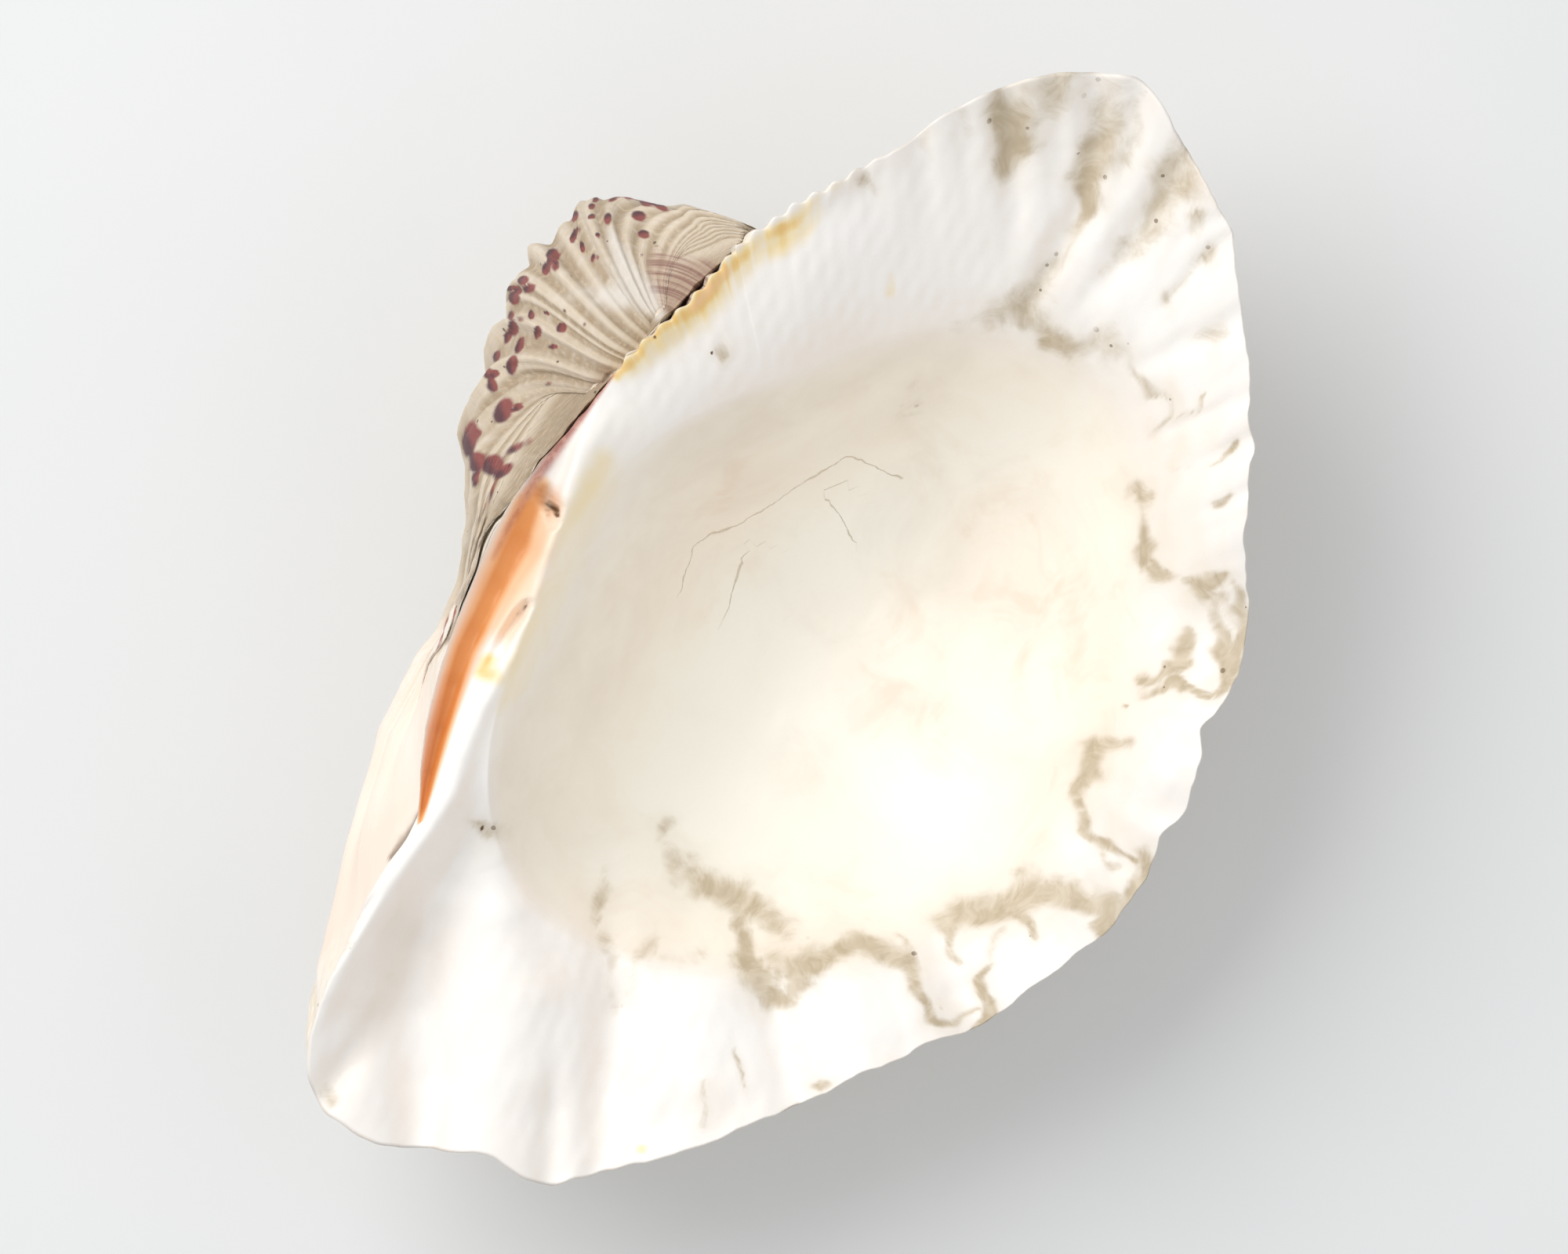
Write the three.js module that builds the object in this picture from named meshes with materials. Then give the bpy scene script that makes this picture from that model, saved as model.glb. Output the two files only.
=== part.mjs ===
// Bear paw clam (horse's hoof clam), one shell valve, lying on its ribbed outside with the
// hollow inside facing up. Millimetres, +Z up, +X to the front (anterior) end, +Y to the
// umbo and hinge, the scalloped ventral edge at -Y. The origin is the middle of the plan
// at the level of the surface that the valve rests on.
//
// The valve is one grown piece. Its outside is the surface that the shell edge sweeps as it
// grows: the edge curve, shrunk and turned back about an axis through the beak. The inside
// is a bowl with a shelf round it. Both start from the same edge curve.
import * as THREE from 'three';

// ---- driving dimensions ------------------------------------------------------------
const TILT_Y = 0.20;          // the ventral edge lies lower than the hinge edge
const TILT_X = 0.065;         // the back end lies slightly lower than the front end
const BEAK = [23.0, 43.3, -12.0];   // beak, 12 mm under the hinge edge
const FLOOR_Z = -50;         // lowest point of the inside
const DEEP = 0.92;            // depth of the growth spiral against its breadth
const TURN_END = 4.45;        // radians turned from the edge back to the beak tip
const EDGE_THICK = 1.5;       // thickness of the blunt shell edge
const WEAR_Z = -60.71;         // ribs worn flat at this level: the valve stands on them
const ORIGIN = [-1.53, -0.7];      // plan position of the middle of the finished valve
const CENTRE = [0.0, -8.0];   // middle of the inside floor
const EDGE_HINGE_Y = 41.0;

// Shell edge in plan, clockwise seen from above, starting in front of the beak.
const EDGE = [
  [37.31, 39.59], [40.29, 39.15], [43.37, 38.06], [46.88, 37.33], [49.79, 36.1], [52.61, 34.8],
  [57.62, 33.13], [63.35, 30.6], [70.37, 29.14], [76.1, 26.61], [81.39, 23.73], [85.83, 20.13],
  [89.4, 15.81], [92.53, 11.14], [92.16, 7.2], [90.06, 1.83], [88.32, -3.97], [85.87, -8.91],
  [83.98, -13.67], [79.88, -17.49], [76.07, -21.67], [72.33, -25.93], [68.51, -30.1], [64.7, -32.53],
  [62.83, -35.53], [59.52, -36.81], [56.29, -39.92], [51.26, -42.63], [49.02, -45.2], [44.2, -49.92],
  [39.53, -53.06], [34.15, -55.33], [28.55, -55.6], [26.62, -55.02], [24.39, -57.59], [20.22, -59.58],
  [15.7, -61.15], [11.4, -60.34], [9.53, -61.6], [5.94, -63.41], [1.57, -63.39], [-4.82, -63.58],
  [-8.68, -62.42], [-14.13, -61.11], [-19.57, -59.8], [-23.87, -59], [-27.74, -57.83], [-32.17, -54.23],
  [-37.19, -52.57], [-43.2, -48.82], [-48.21, -47.15], [-53.5, -44.26], [-58.8, -41.38], [-64.27, -38.63],
  [-71.25, -34.23], [-77.54, -29.26], [-83.38, -25.37], [-84.68, -20.63], [-85.38, -15.4], [-89.23, -9.86],
  [-93.08, -4.33], [-95.08, -0.16], [-95.63, 6.65], [-92.74, 11.95], [-89.07, 14.55], [-84.76, 16.37],
  [-79.02, 18.21], [-75.36, 19.06], [-68.83, 20.83], [-63.16, 21.88], [-57.57, 22.15], [-53.91, 22.99],
  [-48.59, 27.11], [-42.84, 30.7], [-36.59, 33.69], [-29.98, 36.24], [-23.02, 38.37], [-16.06, 40.5],
  [-9.6, 41.48], [-2.43, 41.6], [5.1, 41.28], [11.48, 41.47], [15.85, 41.46], [19.79, 41.09],
  [24.09, 40.28], [30.4, 39.69],
];

// Distance from CENTRE to the brink of the bowl, every 5 degrees from +X.
const BRINK = [56.4, 55.6, 54.3, 52.5, 50.5, 48.3, 46.3, 44.4, 42.8, 41.5, 40.6, 40.1, 39.8, 39.7, 39.8, 39.9, 40.0, 40.1, 40.2, 40.2, 40.3, 40.5, 40.8, 41.3, 42.1, 43.2, 44.6, 46.2, 48.1, 49.9, 51.5, 52.8, 53.7, 54.1, 54.0, 53.5, 52.7, 51.6, 50.3, 48.9, 47.6, 46.4, 45.3, 44.5, 43.9, 43.4, 43.2, 43.0, 43.0, 43.0, 43.1, 43.4, 43.6, 43.7, 43.6, 43.4, 43.0, 42.6, 42.5, 42.8, 43.4, 44.3, 45.4, 46.5, 47.7, 48.9, 50.3, 51.8, 53.4, 54.9, 56.0, 56.6];
// Every 15 degrees from +X: level of the brink, steepness of the bowl, how far the bowl's
// slope carries on over the brink, and slope of the shelf at the shell edge.
const BRINK_Z = [-22, -19.5, -15, -11, -8, -6, -5, -4.2, -4.2, -5, -7.5, -17, -20.5, -24, -25.5, -27, -28, -28.5, -28, -28.5, -27.5, -27, -26, -24];
const BOWL_POWER = [2.6, 2.5, 2.4, 2.4, 2.4, 2.4, 2.4, 2.4, 2.4, 2.4, 2.5, 2.5, 2.5, 2.4, 2.3, 2.3, 2.3, 2.3, 2.3, 2.3, 2.3, 2.4, 2.5, 2.6];
const BRINK_ROUND = [0.8, 0.6, 0.5, 0.5, 0.5, 0.5, 0.5, 0.5, 0.5, 0.6, 0.7, 0.8, 0.9, 1, 1, 1, 1, 1, 1, 1, 1, 1, 1, 0.9];
const EDGE_SLOPE = [0.9, 0.8, 0.5, 0.35, 0.3, 0.3, 0.3, 0.3, 0.3, 0.3, 0.3, 0.4, 0.35, 0.3, 0.3, 0.3, 0.3, 0.3, 0.3, 0.3, 0.3, 0.35, 0.4, 0.6];

// Outer rib crests where they reach the shell edge: x, y, height.
const RIBS = [
  [57.73, 31.77, 0.5], [66.17, 29.3, 0.9], [73.23, 27.44, 0.9], [79.58, 24.7, 1.6], [84.94, 20.85, 1.2],
  [89.04, 16.24, 1.8], [92.53, 10.27, 1.4], [89.19, -0.64, 2], [83.98, -13.67, 1], [75.42, -22.64, 2.2],
  [62.51, -35.5, 2.8], [53.63, -41.98, 0.8], [42.41, -51.26, 3.4], [23.96, -57.95, 1.2], [2.93, -63.28, 3],
  [-13.6, -61.4, 2], [-26.45, -58.51, 4.2], [-40.45, -50.91, 1.2], [-52.3, -45.01, 4.3], [-66.39, -37.48, 1.6],
  [-78.69, -28.76, 3.4], [-85.07, -18.05, 1.2], [-90.63, -7.82, 3], [-95.19, 7.01, 2.4], [-84.76, 16.37, 1.2],
  [-71.92, 20.16, 1], [-58.79, 21.86, 0.8],
];

// Size of an earlier shell edge against how far it is turned back (radians, -ln size).
const TURN = [0, 0.4, 0.8, 1.2, 1.6, 2.0, 2.4, 2.8, 3.2, 3.6, 4.0, 4.5];
const SHRINK = [0, 0.25, 0.50, 0.75, 1.02, 1.30, 1.575, 1.83, 2.06, 2.29, 2.52, 2.80];

// Dorsal outline: plan line of the hinge edge, and how far the umbo and flank stand out
// past it against the plain growth surface.
const HINGE_X = [-96, -93, -75, -53.5, -36, -12, 11, 23, 37.3, 57.6, 76.1, 92];
const HINGE_Y = [7, 12, 19.5, 24.5, 34.2, 41.0, 41.4, 41, 39.4, 32.9, 26.5, 12];
const FLANK_X = [-96, -88, -80, -72, -64, -56, -48, -40, -32, -24, -16, -8, 0, 8, 16, 24, 30, 36, 40, 46, 96];
const FLANK_K = [1.0, 0.4, 0.6, 0.61, 0.75, 0.79, 0.77, 0.46, 0.17, 0.16, 0.4, 0.95, 0.88, 0.92, 0.97, 1.0, 1.15, 0.8, 1.0, 1.0, 1.0];

// Knuckled ribs of the umbo: places round the edge (0..1) of crests and hollows, and height share.
const KNUCKLE_U = [0.236, 0.248, 0.265, 0.3015, 0.3283, 0.349, 0.3845, 0.4142, 0.438, 0.4625, 0.480, 0.4925, 0.5045, 0.538, 0.570, 0.616, 0.6425, 0.670, 0.70];
const KNUCKLE_H = [0, 0.8, 0, 0.9, 0, 1.0, 0, 1.0, 0, 1.05, 0, 1.0, 0, 1.0, 0, 0.9, 0, 0.6, 0];
const KNUCKLE = 1.15;         // height of these ribs
const BEAK_SHIFT = [-4.1, -3.4, 4.0];   // the beak tip leans to the hinge edge
// From which turn on the umbo climbs to the hinge edge, by place round the edge.
const CLIMB_U = [0, 0.02, 0.10, 0.24, 0.65, 0.72, 0.80, 1.0];
const CLIMB_TURN = [0.08, 0.1, 1.2, 1.95, 1.95, 1.3, 0.1, 0.08];

// Relief of the inside: paths of x, y, half width, height (grooves are negative).
const RELIEF = [
  { name: 'front scallop channel', power: 2, path: [[44.62, -53.94, 8.96, -3.8], [38.57, -48.03, 8.29, -3.6], [36.15, -44.23, 6.72, -2.6], [33.89, -39.56, 5.04, -0.6]] },
  { name: 'second scallop channel', power: 2, path: [[3.63, -66.77, 4.48, -3.6], [4.26, -59.27, 4.26, -3.4], [5.07, -54.97, 3.7, -2.6], [7.14, -49.04, 3.14, -0.5]] },
  { name: 'third scallop channel', power: 2, path: [[-27.46, -60.8, 4.48, -3.6], [-24.28, -53.23, 4.03, -3.3], [-21.25, -47.23, 3.36, -2.2], [-18.08, -42.28, 2.91, -0.4]] },
  { name: 'fourth scallop channel', power: 2, path: [[-52.8, -46.88, 3.36, -2.2], [-47.46, -39.27, 2.91, -2.2], [-42.49, -32.97, 3.14, -2.1], [-37.81, -25.46, 3.14, -0.5]] },
  { name: 'fifth scallop channel', power: 2, path: [[-78.48, -30.77, 3.58, -2.6], [-68.06, -23.16, 3.14, -2.5], [-57.85, -16.17, 3.36, -3], [-50.8, -8.88, 3.92, -2], [-45.75, -1.8, 3.36, -0.4]] },
  { name: 'small groove beside it', power: 2, path: [[-84.56, -26.05, 2.46, -1.7], [-74.71, -18.63, 2.02, -1.1], [-68.02, -13.54, 1.34, -0.2]] },
  { name: 'channel along the hinge ridge', power: 2, path: [[-92.89, -8.96, 3.81, -4], [-82.89, -1.71, 4.48, -4.8], [-75.98, 5.75, 5.15, -5.2], [-68.58, 10.86, 4.93, -5], [-59.18, 13.55, 4.26, -3.8], [-50.57, 15.44, 3.81, -2], [-43.67, 17.65, 3.36, -0.4]] },
  { name: 'groove at the back tip', power: 2, path: [[-97.34, 7.85, 2.69, -1.8], [-90.2, 8.53, 2.46, -2.2], [-83.29, 8.43, 2.69, -1.2], [-76.97, 10.46, 2.46, -0.3]] },
  { name: 'front end rib groove 1', power: 2, path: [[58.49, 33.85, 1.9, -0.8], [55.46, 29.6, 1.68, -0.5], [52.07, 24.91, 1.34, -0.1]] },
  { name: 'front end rib groove 2', power: 2, path: [[67.22, 31.19, 2.24, -1.2], [62.76, 26.05, 1.9, -0.8], [56.57, 19.47, 1.46, -0.1]] },
  { name: 'front end rib groove 3', power: 2, path: [[74.24, 28.86, 2.24, -1.1], [69.06, 23.7, 1.9, -0.6], [63.45, 18.19, 1.46, -0.1]] },
  { name: 'front end rib groove 4', power: 2, path: [[80.83, 26.17, 2.91, -2.4], [73.2, 18.7, 2.46, -2], [66.66, 12.55, 2.02, -0.8], [61.26, 8.53, 1.57, -0.1]] },
  { name: 'front end rib groove 5', power: 2, path: [[86.26, 22.23, 2.69, -1.4], [77.63, 13.34, 2.02, -1], [68.64, 6.64, 1.79, -0.2]] },
  { name: 'front end rib groove 6', power: 2, path: [[90.62, 17.84, 2.91, -2.4], [82.78, 10.63, 2.69, -2.3], [72.58, 5.39, 2.24, -2], [63.58, 3.62, 2.13, -1.7], [56.98, 2.81, 1.79, -0.9], [54.36, 2.82, 1.57, -0.2]] },
  { name: 'front end rib groove 7', power: 2, path: [[94.11, 10.99, 2.13, -1.1], [84.2, 5.41, 1.79, -0.8], [77.16, 2.49, 1.34, -0.1]] },
  { name: 'front end rib groove 8', power: 2, path: [[93.42, -0.48, 3.36, -2.4], [80.7, -3.01, 3.02, -2.1], [71.26, -3.55, 2.46, -1.5], [63.04, -3.81, 1.9, -0.3]] },
  { name: 'front end rib groove 9', power: 2, path: [[86.43, -11.35, 1.12, -0.5], [81.39, -9.13, 1.01, -0.6], [78.34, -8.6, 0.9, -0.1]] },
  { name: 'front end rib groove 10', power: 2, path: [[84.56, -14.36, 1.12, -0.6], [80.5, -12.62, 1.12, -0.7], [71.2, -12.62, 0.9, -0.4], [68.07, -12, 0.78, -0.1]] },
  { name: 'front end rib groove 11', power: 2, path: [[77.88, -23.51, 2.69, -1.6], [71.27, -20.26, 2.13, -1.3], [64.66, -17.01, 1.68, -0.6], [59.89, -14.41, 1.34, -0.1]] },
  { name: 'front end rib groove 12', power: 2, path: [[69.7, -31.01, 1.34, -0.6], [62.55, -27.47, 0.9, -0.7], [56.73, -24.3, 0.78, -0.4], [53.91, -22.99, 0.67, -0.1]] },
  { name: 'front end rib groove 13', power: 2, path: [[66.01, -35.51, 1.34, -0.7], [61.07, -33.06, 1.12, -0.8], [54.29, -29.95, 0.9, -0.2]] },
  { name: 'front end rib groove 14', power: 2, path: [[60.49, -40.08, 1.34, -0.6], [53.93, -37.08, 1.12, -0.6], [50.44, -35.31, 0.9, -0.1]] },
  { name: 'lobe between channels 1 and 2', power: 2, path: [[21.87, -58.95, 6.5, 1.8], [17.59, -53.77, 6.5, 2.6], [12.65, -51.31, 4.03, 1.4], [9.57, -50.23, 2.69, 0.3]] },
  { name: 'upper part of that lobe', power: 2, path: [[28.49, -52.01, 4.48, 0.8], [23.63, -48.77, 4.03, 1], [20.19, -47.25, 2.69, 0.3]] },
  { name: 'lobe between channels 2 and 3', power: 2, path: [[-13.21, -63.98, 5.6, 1.8], [-11.03, -57.82, 4.48, 2], [-10.3, -54.31, 2.91, 0.4]] },
  { name: 'lobe between channels 3 and 4', power: 2, path: [[-43.14, -52.4, 6.16, 1.6], [-37.59, -45.93, 5.82, 2.4], [-33.35, -41.4, 4.03, 1.6], [-31.55, -39.18, 2.69, 0.3]] },
  { name: 'lobe between channels 4 and 5', power: 2, path: [[-66.89, -38.62, 8.06, 1.2], [-57.91, -31.91, 7.39, 2], [-49.14, -25.82, 5.82, 2.2], [-45.54, -23.14, 3.81, 0.6]] },
  { name: 'broad rear lobe', power: 2, path: [[-86.97, -19.62, 6.5, 1.2], [-75.04, -11.2, 6.94, 2.4], [-64.48, -4.64, 6.5, 3], [-57.27, 4.22, 4.48, 2.6], [-53.52, 10.23, 2.69, 0.6]] },
  { name: 'front lobe', power: 2, path: [[55.93, -39.49, 6.72, 0.6], [51.65, -34.32, 6.5, 1.4], [48, -30.79, 3.58, 0.8]] },
  { name: 'crest of the hinge plate', power: 2, path: [[6.88, 39.12, 2.02, 0.2], [2.14, 37.82, 2.46, 0.9], [-5.61, 34.9, 2.02, 1.5], [-12.36, 32.51, 1.57, 1.7], [-17.82, 30.32, 1.46, 1.7], [-27.91, 27.06, 1.68, 1.9], [-35.97, 25.91, 1.9, 2.1], [-42.86, 23.7, 2.13, 2.3], [-49.23, 21.2, 2.35, 2.6], [-55.78, 19.99, 2.46, 2.8], [-63.39, 19.52, 2.46, 2.7], [-73.86, 18.12, 2.24, 2.4], [-81.97, 16.5, 1.79, 1.6], [-88.14, 14.3, 1.34, 0.4]] },
  { name: 'tooth socket', power: 4, path: [[-7, 38.69, 1.01, -2], [-7.8, 36.14, 1.01, -3.4], [-9.53, 34.71, 0.78, -1.6]] },
  { name: 'long tooth socket', power: 3, path: [[-20.93, 30.22, 0.67, -2], [-22.69, 30.07, 0.9, -2.6], [-26.31, 29.69, 0.9, -1.5], [-30.04, 28.93, 0.78, -0.2]] },
  { name: 'ligament groove', power: 4, path: [[6.46, 41.39, 0.78, -0.8], [-0.17, 40.27, 1.46, -1.8], [-8.26, 38.81, 2.69, -3.2], [-15.21, 36.84, 3.02, -4.2], [-21.93, 35.64, 2.8, -4.4], [-28.77, 33.9, 2.35, -4.4], [-36.17, 31.42, 1.9, -4.2], [-42.7, 28.78, 1.34, -3.8], [-48.31, 25.89, 0.95, -3], [-52.44, 23.33, 0.56, -1.8], [-54.56, 22.02, 0.45, -0.4]] },
  { name: 'fine groove behind the ligament', power: 2, path: [[-67.04, 20.42, 0.56, -0.3], [-71.2, 20.17, 0.78, -1.2], [-75.65, 19.4, 0.78, -1.2], [-79.55, 18.5, 0.56, -0.3]] },
  { name: 'shallow trough under the hinge crest', power: 2, path: [[3.84, 32.25, 3.36, -0.4], [-5.69, 32.36, 2.24, -0.9], [-13.66, 30.56, 1.57, -0.9], [-22.13, 26.75, 1.34, -0.9], [-30.82, 23.2, 1.34, -0.6], [-37.07, 20.21, 1.12, -0.1]] },
];

// ---- small helpers -----------------------------------------------------------------
function lerpTable(x, xs, ys) {
  if (x <= xs[0]) return ys[0];
  for (let i = 1; i < xs.length; i++) {
    if (x <= xs[i]) return ys[i - 1] + ((ys[i] - ys[i - 1]) * (x - xs[i - 1])) / (xs[i] - xs[i - 1]);
  }
  return ys[ys.length - 1];
}
function cyclic(tab, x) {            // periodic Catmull-Rom through evenly spaced values
  const n = tab.length;
  x = ((x % n) + n) % n;
  const i = Math.floor(x), f = x - i;
  const a = tab[(i - 1 + n) % n], b = tab[i % n], c = tab[(i + 1) % n], d = tab[(i + 2) % n];
  return b + 0.5 * f * (c - a + f * (2 * a - 5 * b + 4 * c - d + f * (3 * (b - c) + d - a)));
}
function smooth(a, b, x) {
  const t = Math.min(1, Math.max(0, (x - a) / (b - a)));
  return t * t * (3 - 2 * t);
}
function walk(P, n) {                // n even steps round a closed line
  const Q = [...P, P[0]];
  const d = [0];
  for (let i = 1; i < Q.length; i++) d.push(d[i - 1] + Math.hypot(Q[i][0] - Q[i - 1][0], Q[i][1] - Q[i - 1][1]));
  const len = d[d.length - 1], out = [];
  let k = 0;
  for (let i = 0; i < n; i++) {
    const t = (i * len) / n;
    while (d[k + 1] < t) k++;
    const f = (t - d[k]) / (d[k + 1] - d[k]);
    out.push([Q[k][0] + f * (Q[k + 1][0] - Q[k][0]), Q[k][1] + f * (Q[k + 1][1] - Q[k][1])]);
  }
  return { pts: out, len };
}
function blur(v, sigma) {            // periodic Gaussian
  const n = v.length, r = Math.floor(3 * sigma) + 1, w = [];
  let sum = 0;
  for (let j = -r; j <= r; j++) { const g = Math.exp(-0.5 * (j / sigma) ** 2); w.push(g); sum += g; }
  const dim = Array.isArray(v[0]) ? v[0].length : 0;
  return v.map((_, i) => {
    if (!dim) {
      let s = 0;
      for (let j = -r; j <= r; j++) s += (w[j + r] / sum) * v[(((i - j) % n) + n) % n];
      return s;
    }
    const s = new Array(dim).fill(0);
    for (let j = -r; j <= r; j++) {
      const p = v[(((i - j) % n) + n) % n];
      for (let k = 0; k < dim; k++) s[k] += (w[j + r] / sum) * p[k];
    }
    return s;
  });
}

// ---- relief and edge ---------------------------------------------------------------
function relief(x, y) {
  let z = 0;
  for (const f of RELIEF) {
    let acc = 0, sign = -1;
    for (const p of f.path) if (p[3] > 0) sign = 1;
    for (let i = 0; i + 1 < f.path.length; i++) {
      const a = f.path[i], c = f.path[i + 1];
      const ex = c[0] - a[0], ey = c[1] - a[1];
      const t = Math.min(1, Math.max(0, ((x - a[0]) * ex + (y - a[1]) * ey) / (ex * ex + ey * ey)));
      const d = Math.hypot(x - a[0] - t * ex, y - a[1] - t * ey) / (a[2] + t * (c[2] - a[2]));
      acc += (Math.abs(a[3] + t * (c[3] - a[3])) * Math.exp(-(d ** f.power))) ** 10;
    }
    z += sign * acc ** 0.1;
  }
  return z;
}
const lipZ = (x, y) => -TILT_Y * (EDGE_HINGE_Y - y) + TILT_X * x;

const NM = 928;                      // fine steps round the edge
const walked = walk(EDGE, NM);
const LEN = walked.len, DS = LEN / NM;
const edgeXY = blur(walked.pts, 0.9 / DS);
const softXY = blur(walked.pts, 5.0 / DS);
const crenels = edgeXY.map(([x, y]) => (y > 20 ? smooth(9, 16, x) * (1 - smooth(52, 66, x)) : 0));
const TOOTH = 3.35;                  // spacing of the small teeth on the lunule edge
{
  const n = edgeXY.map((_, i) => {
    const a = edgeXY[(i - 1 + NM) % NM], b = edgeXY[(i + 1) % NM];
    const v = [a[1] - b[1], b[0] - a[0]], l = Math.hypot(...v);
    return [v[0] / l, v[1] / l];
  });
  let s = 0;
  for (let i = 0; i < NM; i++) s += (edgeXY[i][0] - CENTRE[0]) * n[i][0] + (edgeXY[i][1] - CENTRE[1]) * n[i][1];
  s = Math.sign(s);
  for (let i = 0; i < NM; i++) {
    const k = 0.32 * crenels[i] * Math.cos((2 * Math.PI * i * DS) / TOOTH) * s;
    edgeXY[i] = [edgeXY[i][0] + k * n[i][0], edgeXY[i][1] + k * n[i][1]];
  }
}
const edgeZ = edgeXY.map(([x, y], i) => lipZ(x, y) + relief(x, y)
  + crenels[i] * (1.6 + 0.45 * Math.cos((2 * Math.PI * i * DS) / TOOTH)));
const lift = blur(edgeXY.map(([, y]) => lerpTable(y, [-62, -30, 10, 35, 41], [5, 6, 9, 12, 12.2])), 6 / DS);
const softLip = blur(softXY.map(([x, y]) => lipZ(x, y)), 4 / DS);
const softZ = softLip.map((z, i) => z - lift[i]);

const ribs = (() => {                // outer rib profile round the edge
  const cs = RIBS.map(([x, y, h]) => {
    let best = 0, bd = 1e9;
    edgeXY.forEach((p, i) => { const d = Math.hypot(p[0] - x, p[1] - y); if (d < bd) { bd = d; best = i; } });
    return [best * DS, h];
  }).sort((a, b) => a[0] - b[0]);
  const F = new Array(NM).fill(0), n = cs.length;
  for (let k = 0; k < n; k++) {
    const [s, a] = cs[k];
    const sp = cs[(k - 1 + n) % n][0] - (k === 0 ? LEN : 0);
    const sn = cs[(k + 1) % n][0] + (k === n - 1 ? LEN : 0);
    const wl = Math.min((s - sp) / 2, 22), wr = Math.min((sn - s) / 2, 22);
    for (let i = 0; i < NM; i++) {
      const d = ((((i * DS - s + LEN / 2) % LEN) + LEN) % LEN) - LEN / 2;
      const x = d < 0 ? -d / wl : d / wr;
      if (x < 1) F[i] += a * (Math.cos((Math.PI * x) / 2) ** 2) ** 0.8;
    }
  }
  return blur(F, 0.5 / DS);
})();

function at(tab, u) {                // value of an edge table at u = 0..1 round the edge
  const x = (((u % 1) + 1) % 1) * NM, i = Math.floor(x) % NM, f = x - Math.floor(x), j = (i + 1) % NM;
  if (Array.isArray(tab[0])) return tab[i].map((v, k) => v * (1 - f) + tab[j][k] * f);
  return tab[i] * (1 - f) + tab[j] * f;
}

// ---- outside -----------------------------------------------------------------------
const shrinkTab = (() => {
  const xs = [], l = [];
  for (let i = 0; i < 93; i++) { xs.push((4.6 * i) / 92); l.push(lerpTable(xs[i], TURN, SHRINK)); }
  const n = l.length;
  const get = (i) => (i < 0 ? 2 * l[0] - l[-i] : i >= n ? 2 * l[n - 1] - l[2 * n - 2 - i] : l[i]);
  let w = [], sum = 0;
  for (let j = -6; j <= 6; j++) { const g = Math.exp(-0.5 * (j / 2.5) ** 2); w.push(g); sum += g; }
  const out = l.map((_, i) => { let s = 0; for (let j = -6; j <= 6; j++) s += (w[j + 6] / sum) * get(i + j); return s; });
  const o = out[0];
  return { xs, l: out.map((v) => v - o) };
})();
const size = (turn) => Math.exp(-lerpTable(turn, shrinkTab.xs, shrinkTab.l));

function growth(u, turn) {           // plain growth surface
  const m = at(softXY, u), z = at(softZ, u), s = size(turn);
  const a = m[0] - BEAK[0], b = BEAK[1] - m[1], h = z - BEAK[2];
  const c = Math.cos(turn), q = Math.sin(turn);
  return [BEAK[0] + s * a, BEAK[1] - s * (b * c + h * q), BEAK[2] - s * (DEEP * b * q - h * c)];
}
function flank([x, y, z]) {          // slope behind the beak, and the lunule slope in front
  const edge = lerpTable(x, HINGE_X, HINGE_Y);
  const e = y - edge, dz = Math.max(lipZ(x, edge) - z, 0);
  const g = (dz / 13) * Math.exp(1 - dz / 13);
  const w = smooth(-96, -80, x) * (1 - smooth(-22, -8, x)) * Math.exp(-((Math.min(e, 0) / 22) ** 2));
  const amt = 4.6 * w * g;
  const wl = smooth(36, 44, x) * (1 - smooth(78, 94, x));
  const oo = e + 0.6 + 0.16 * dz;
  const over = 0.5 * (oo + Math.sqrt(oo * oo + 9)) - 0.5 * (Math.sqrt(9.36) - 0.6) * Math.exp(-dz / 4);
  let y2 = y + amt * 0.94 - wl * over;
  const x2 = x - amt * 0.30;
  const k = lerpTable(x2, FLANK_X, FLANK_K), e2 = y2 - lerpTable(x2, HINGE_X, HINGE_Y);
  if (x2 < 46) y2 -= Math.max(e2, 0) * (1 - k) * smooth(0, 5, e2);
  return [x2, y2, z];
}
const sub = (a, b) => [a[0] - b[0], a[1] - b[1], a[2] - b[2]];
function outward(u, turn) {
  const t1 = sub(growth(u + 0.0012, turn), growth(u - 0.0012, turn));
  const t2 = sub(growth(u, turn + 0.01), growth(u, Math.max(turn - 0.01, 0)));
  const n = [t1[1] * t2[2] - t1[2] * t2[1], t1[2] * t2[0] - t1[0] * t2[2], t1[0] * t2[1] - t1[1] * t2[0]];
  const l = Math.hypot(...n) + 1e-9;
  return n.map((v) => (OUT * v) / l);
}
let OUT = 1;
{
  const n = outward(0.5, 0), m = at(softXY, 0.5);
  if (n[0] * (m[0] - CENTRE[0]) + n[1] * (m[1] - CENTRE[1]) < 0) OUT = -1;
}
function knuckle(u) {
  u = ((u % 1) + 1) % 1;
  if (u <= KNUCKLE_U[0] || u >= KNUCKLE_U[KNUCKLE_U.length - 1]) return 0;
  let k = 0;
  while (KNUCKLE_U[k + 1] < u) k++;
  const t = 0.5 - 0.5 * Math.cos((Math.PI * (u - KNUCKLE_U[k])) / (KNUCKLE_U[k + 1] - KNUCKLE_U[k]));
  return KNUCKLE_H[k] * (1 - t) + KNUCKLE_H[k + 1] * t;
}
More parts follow.
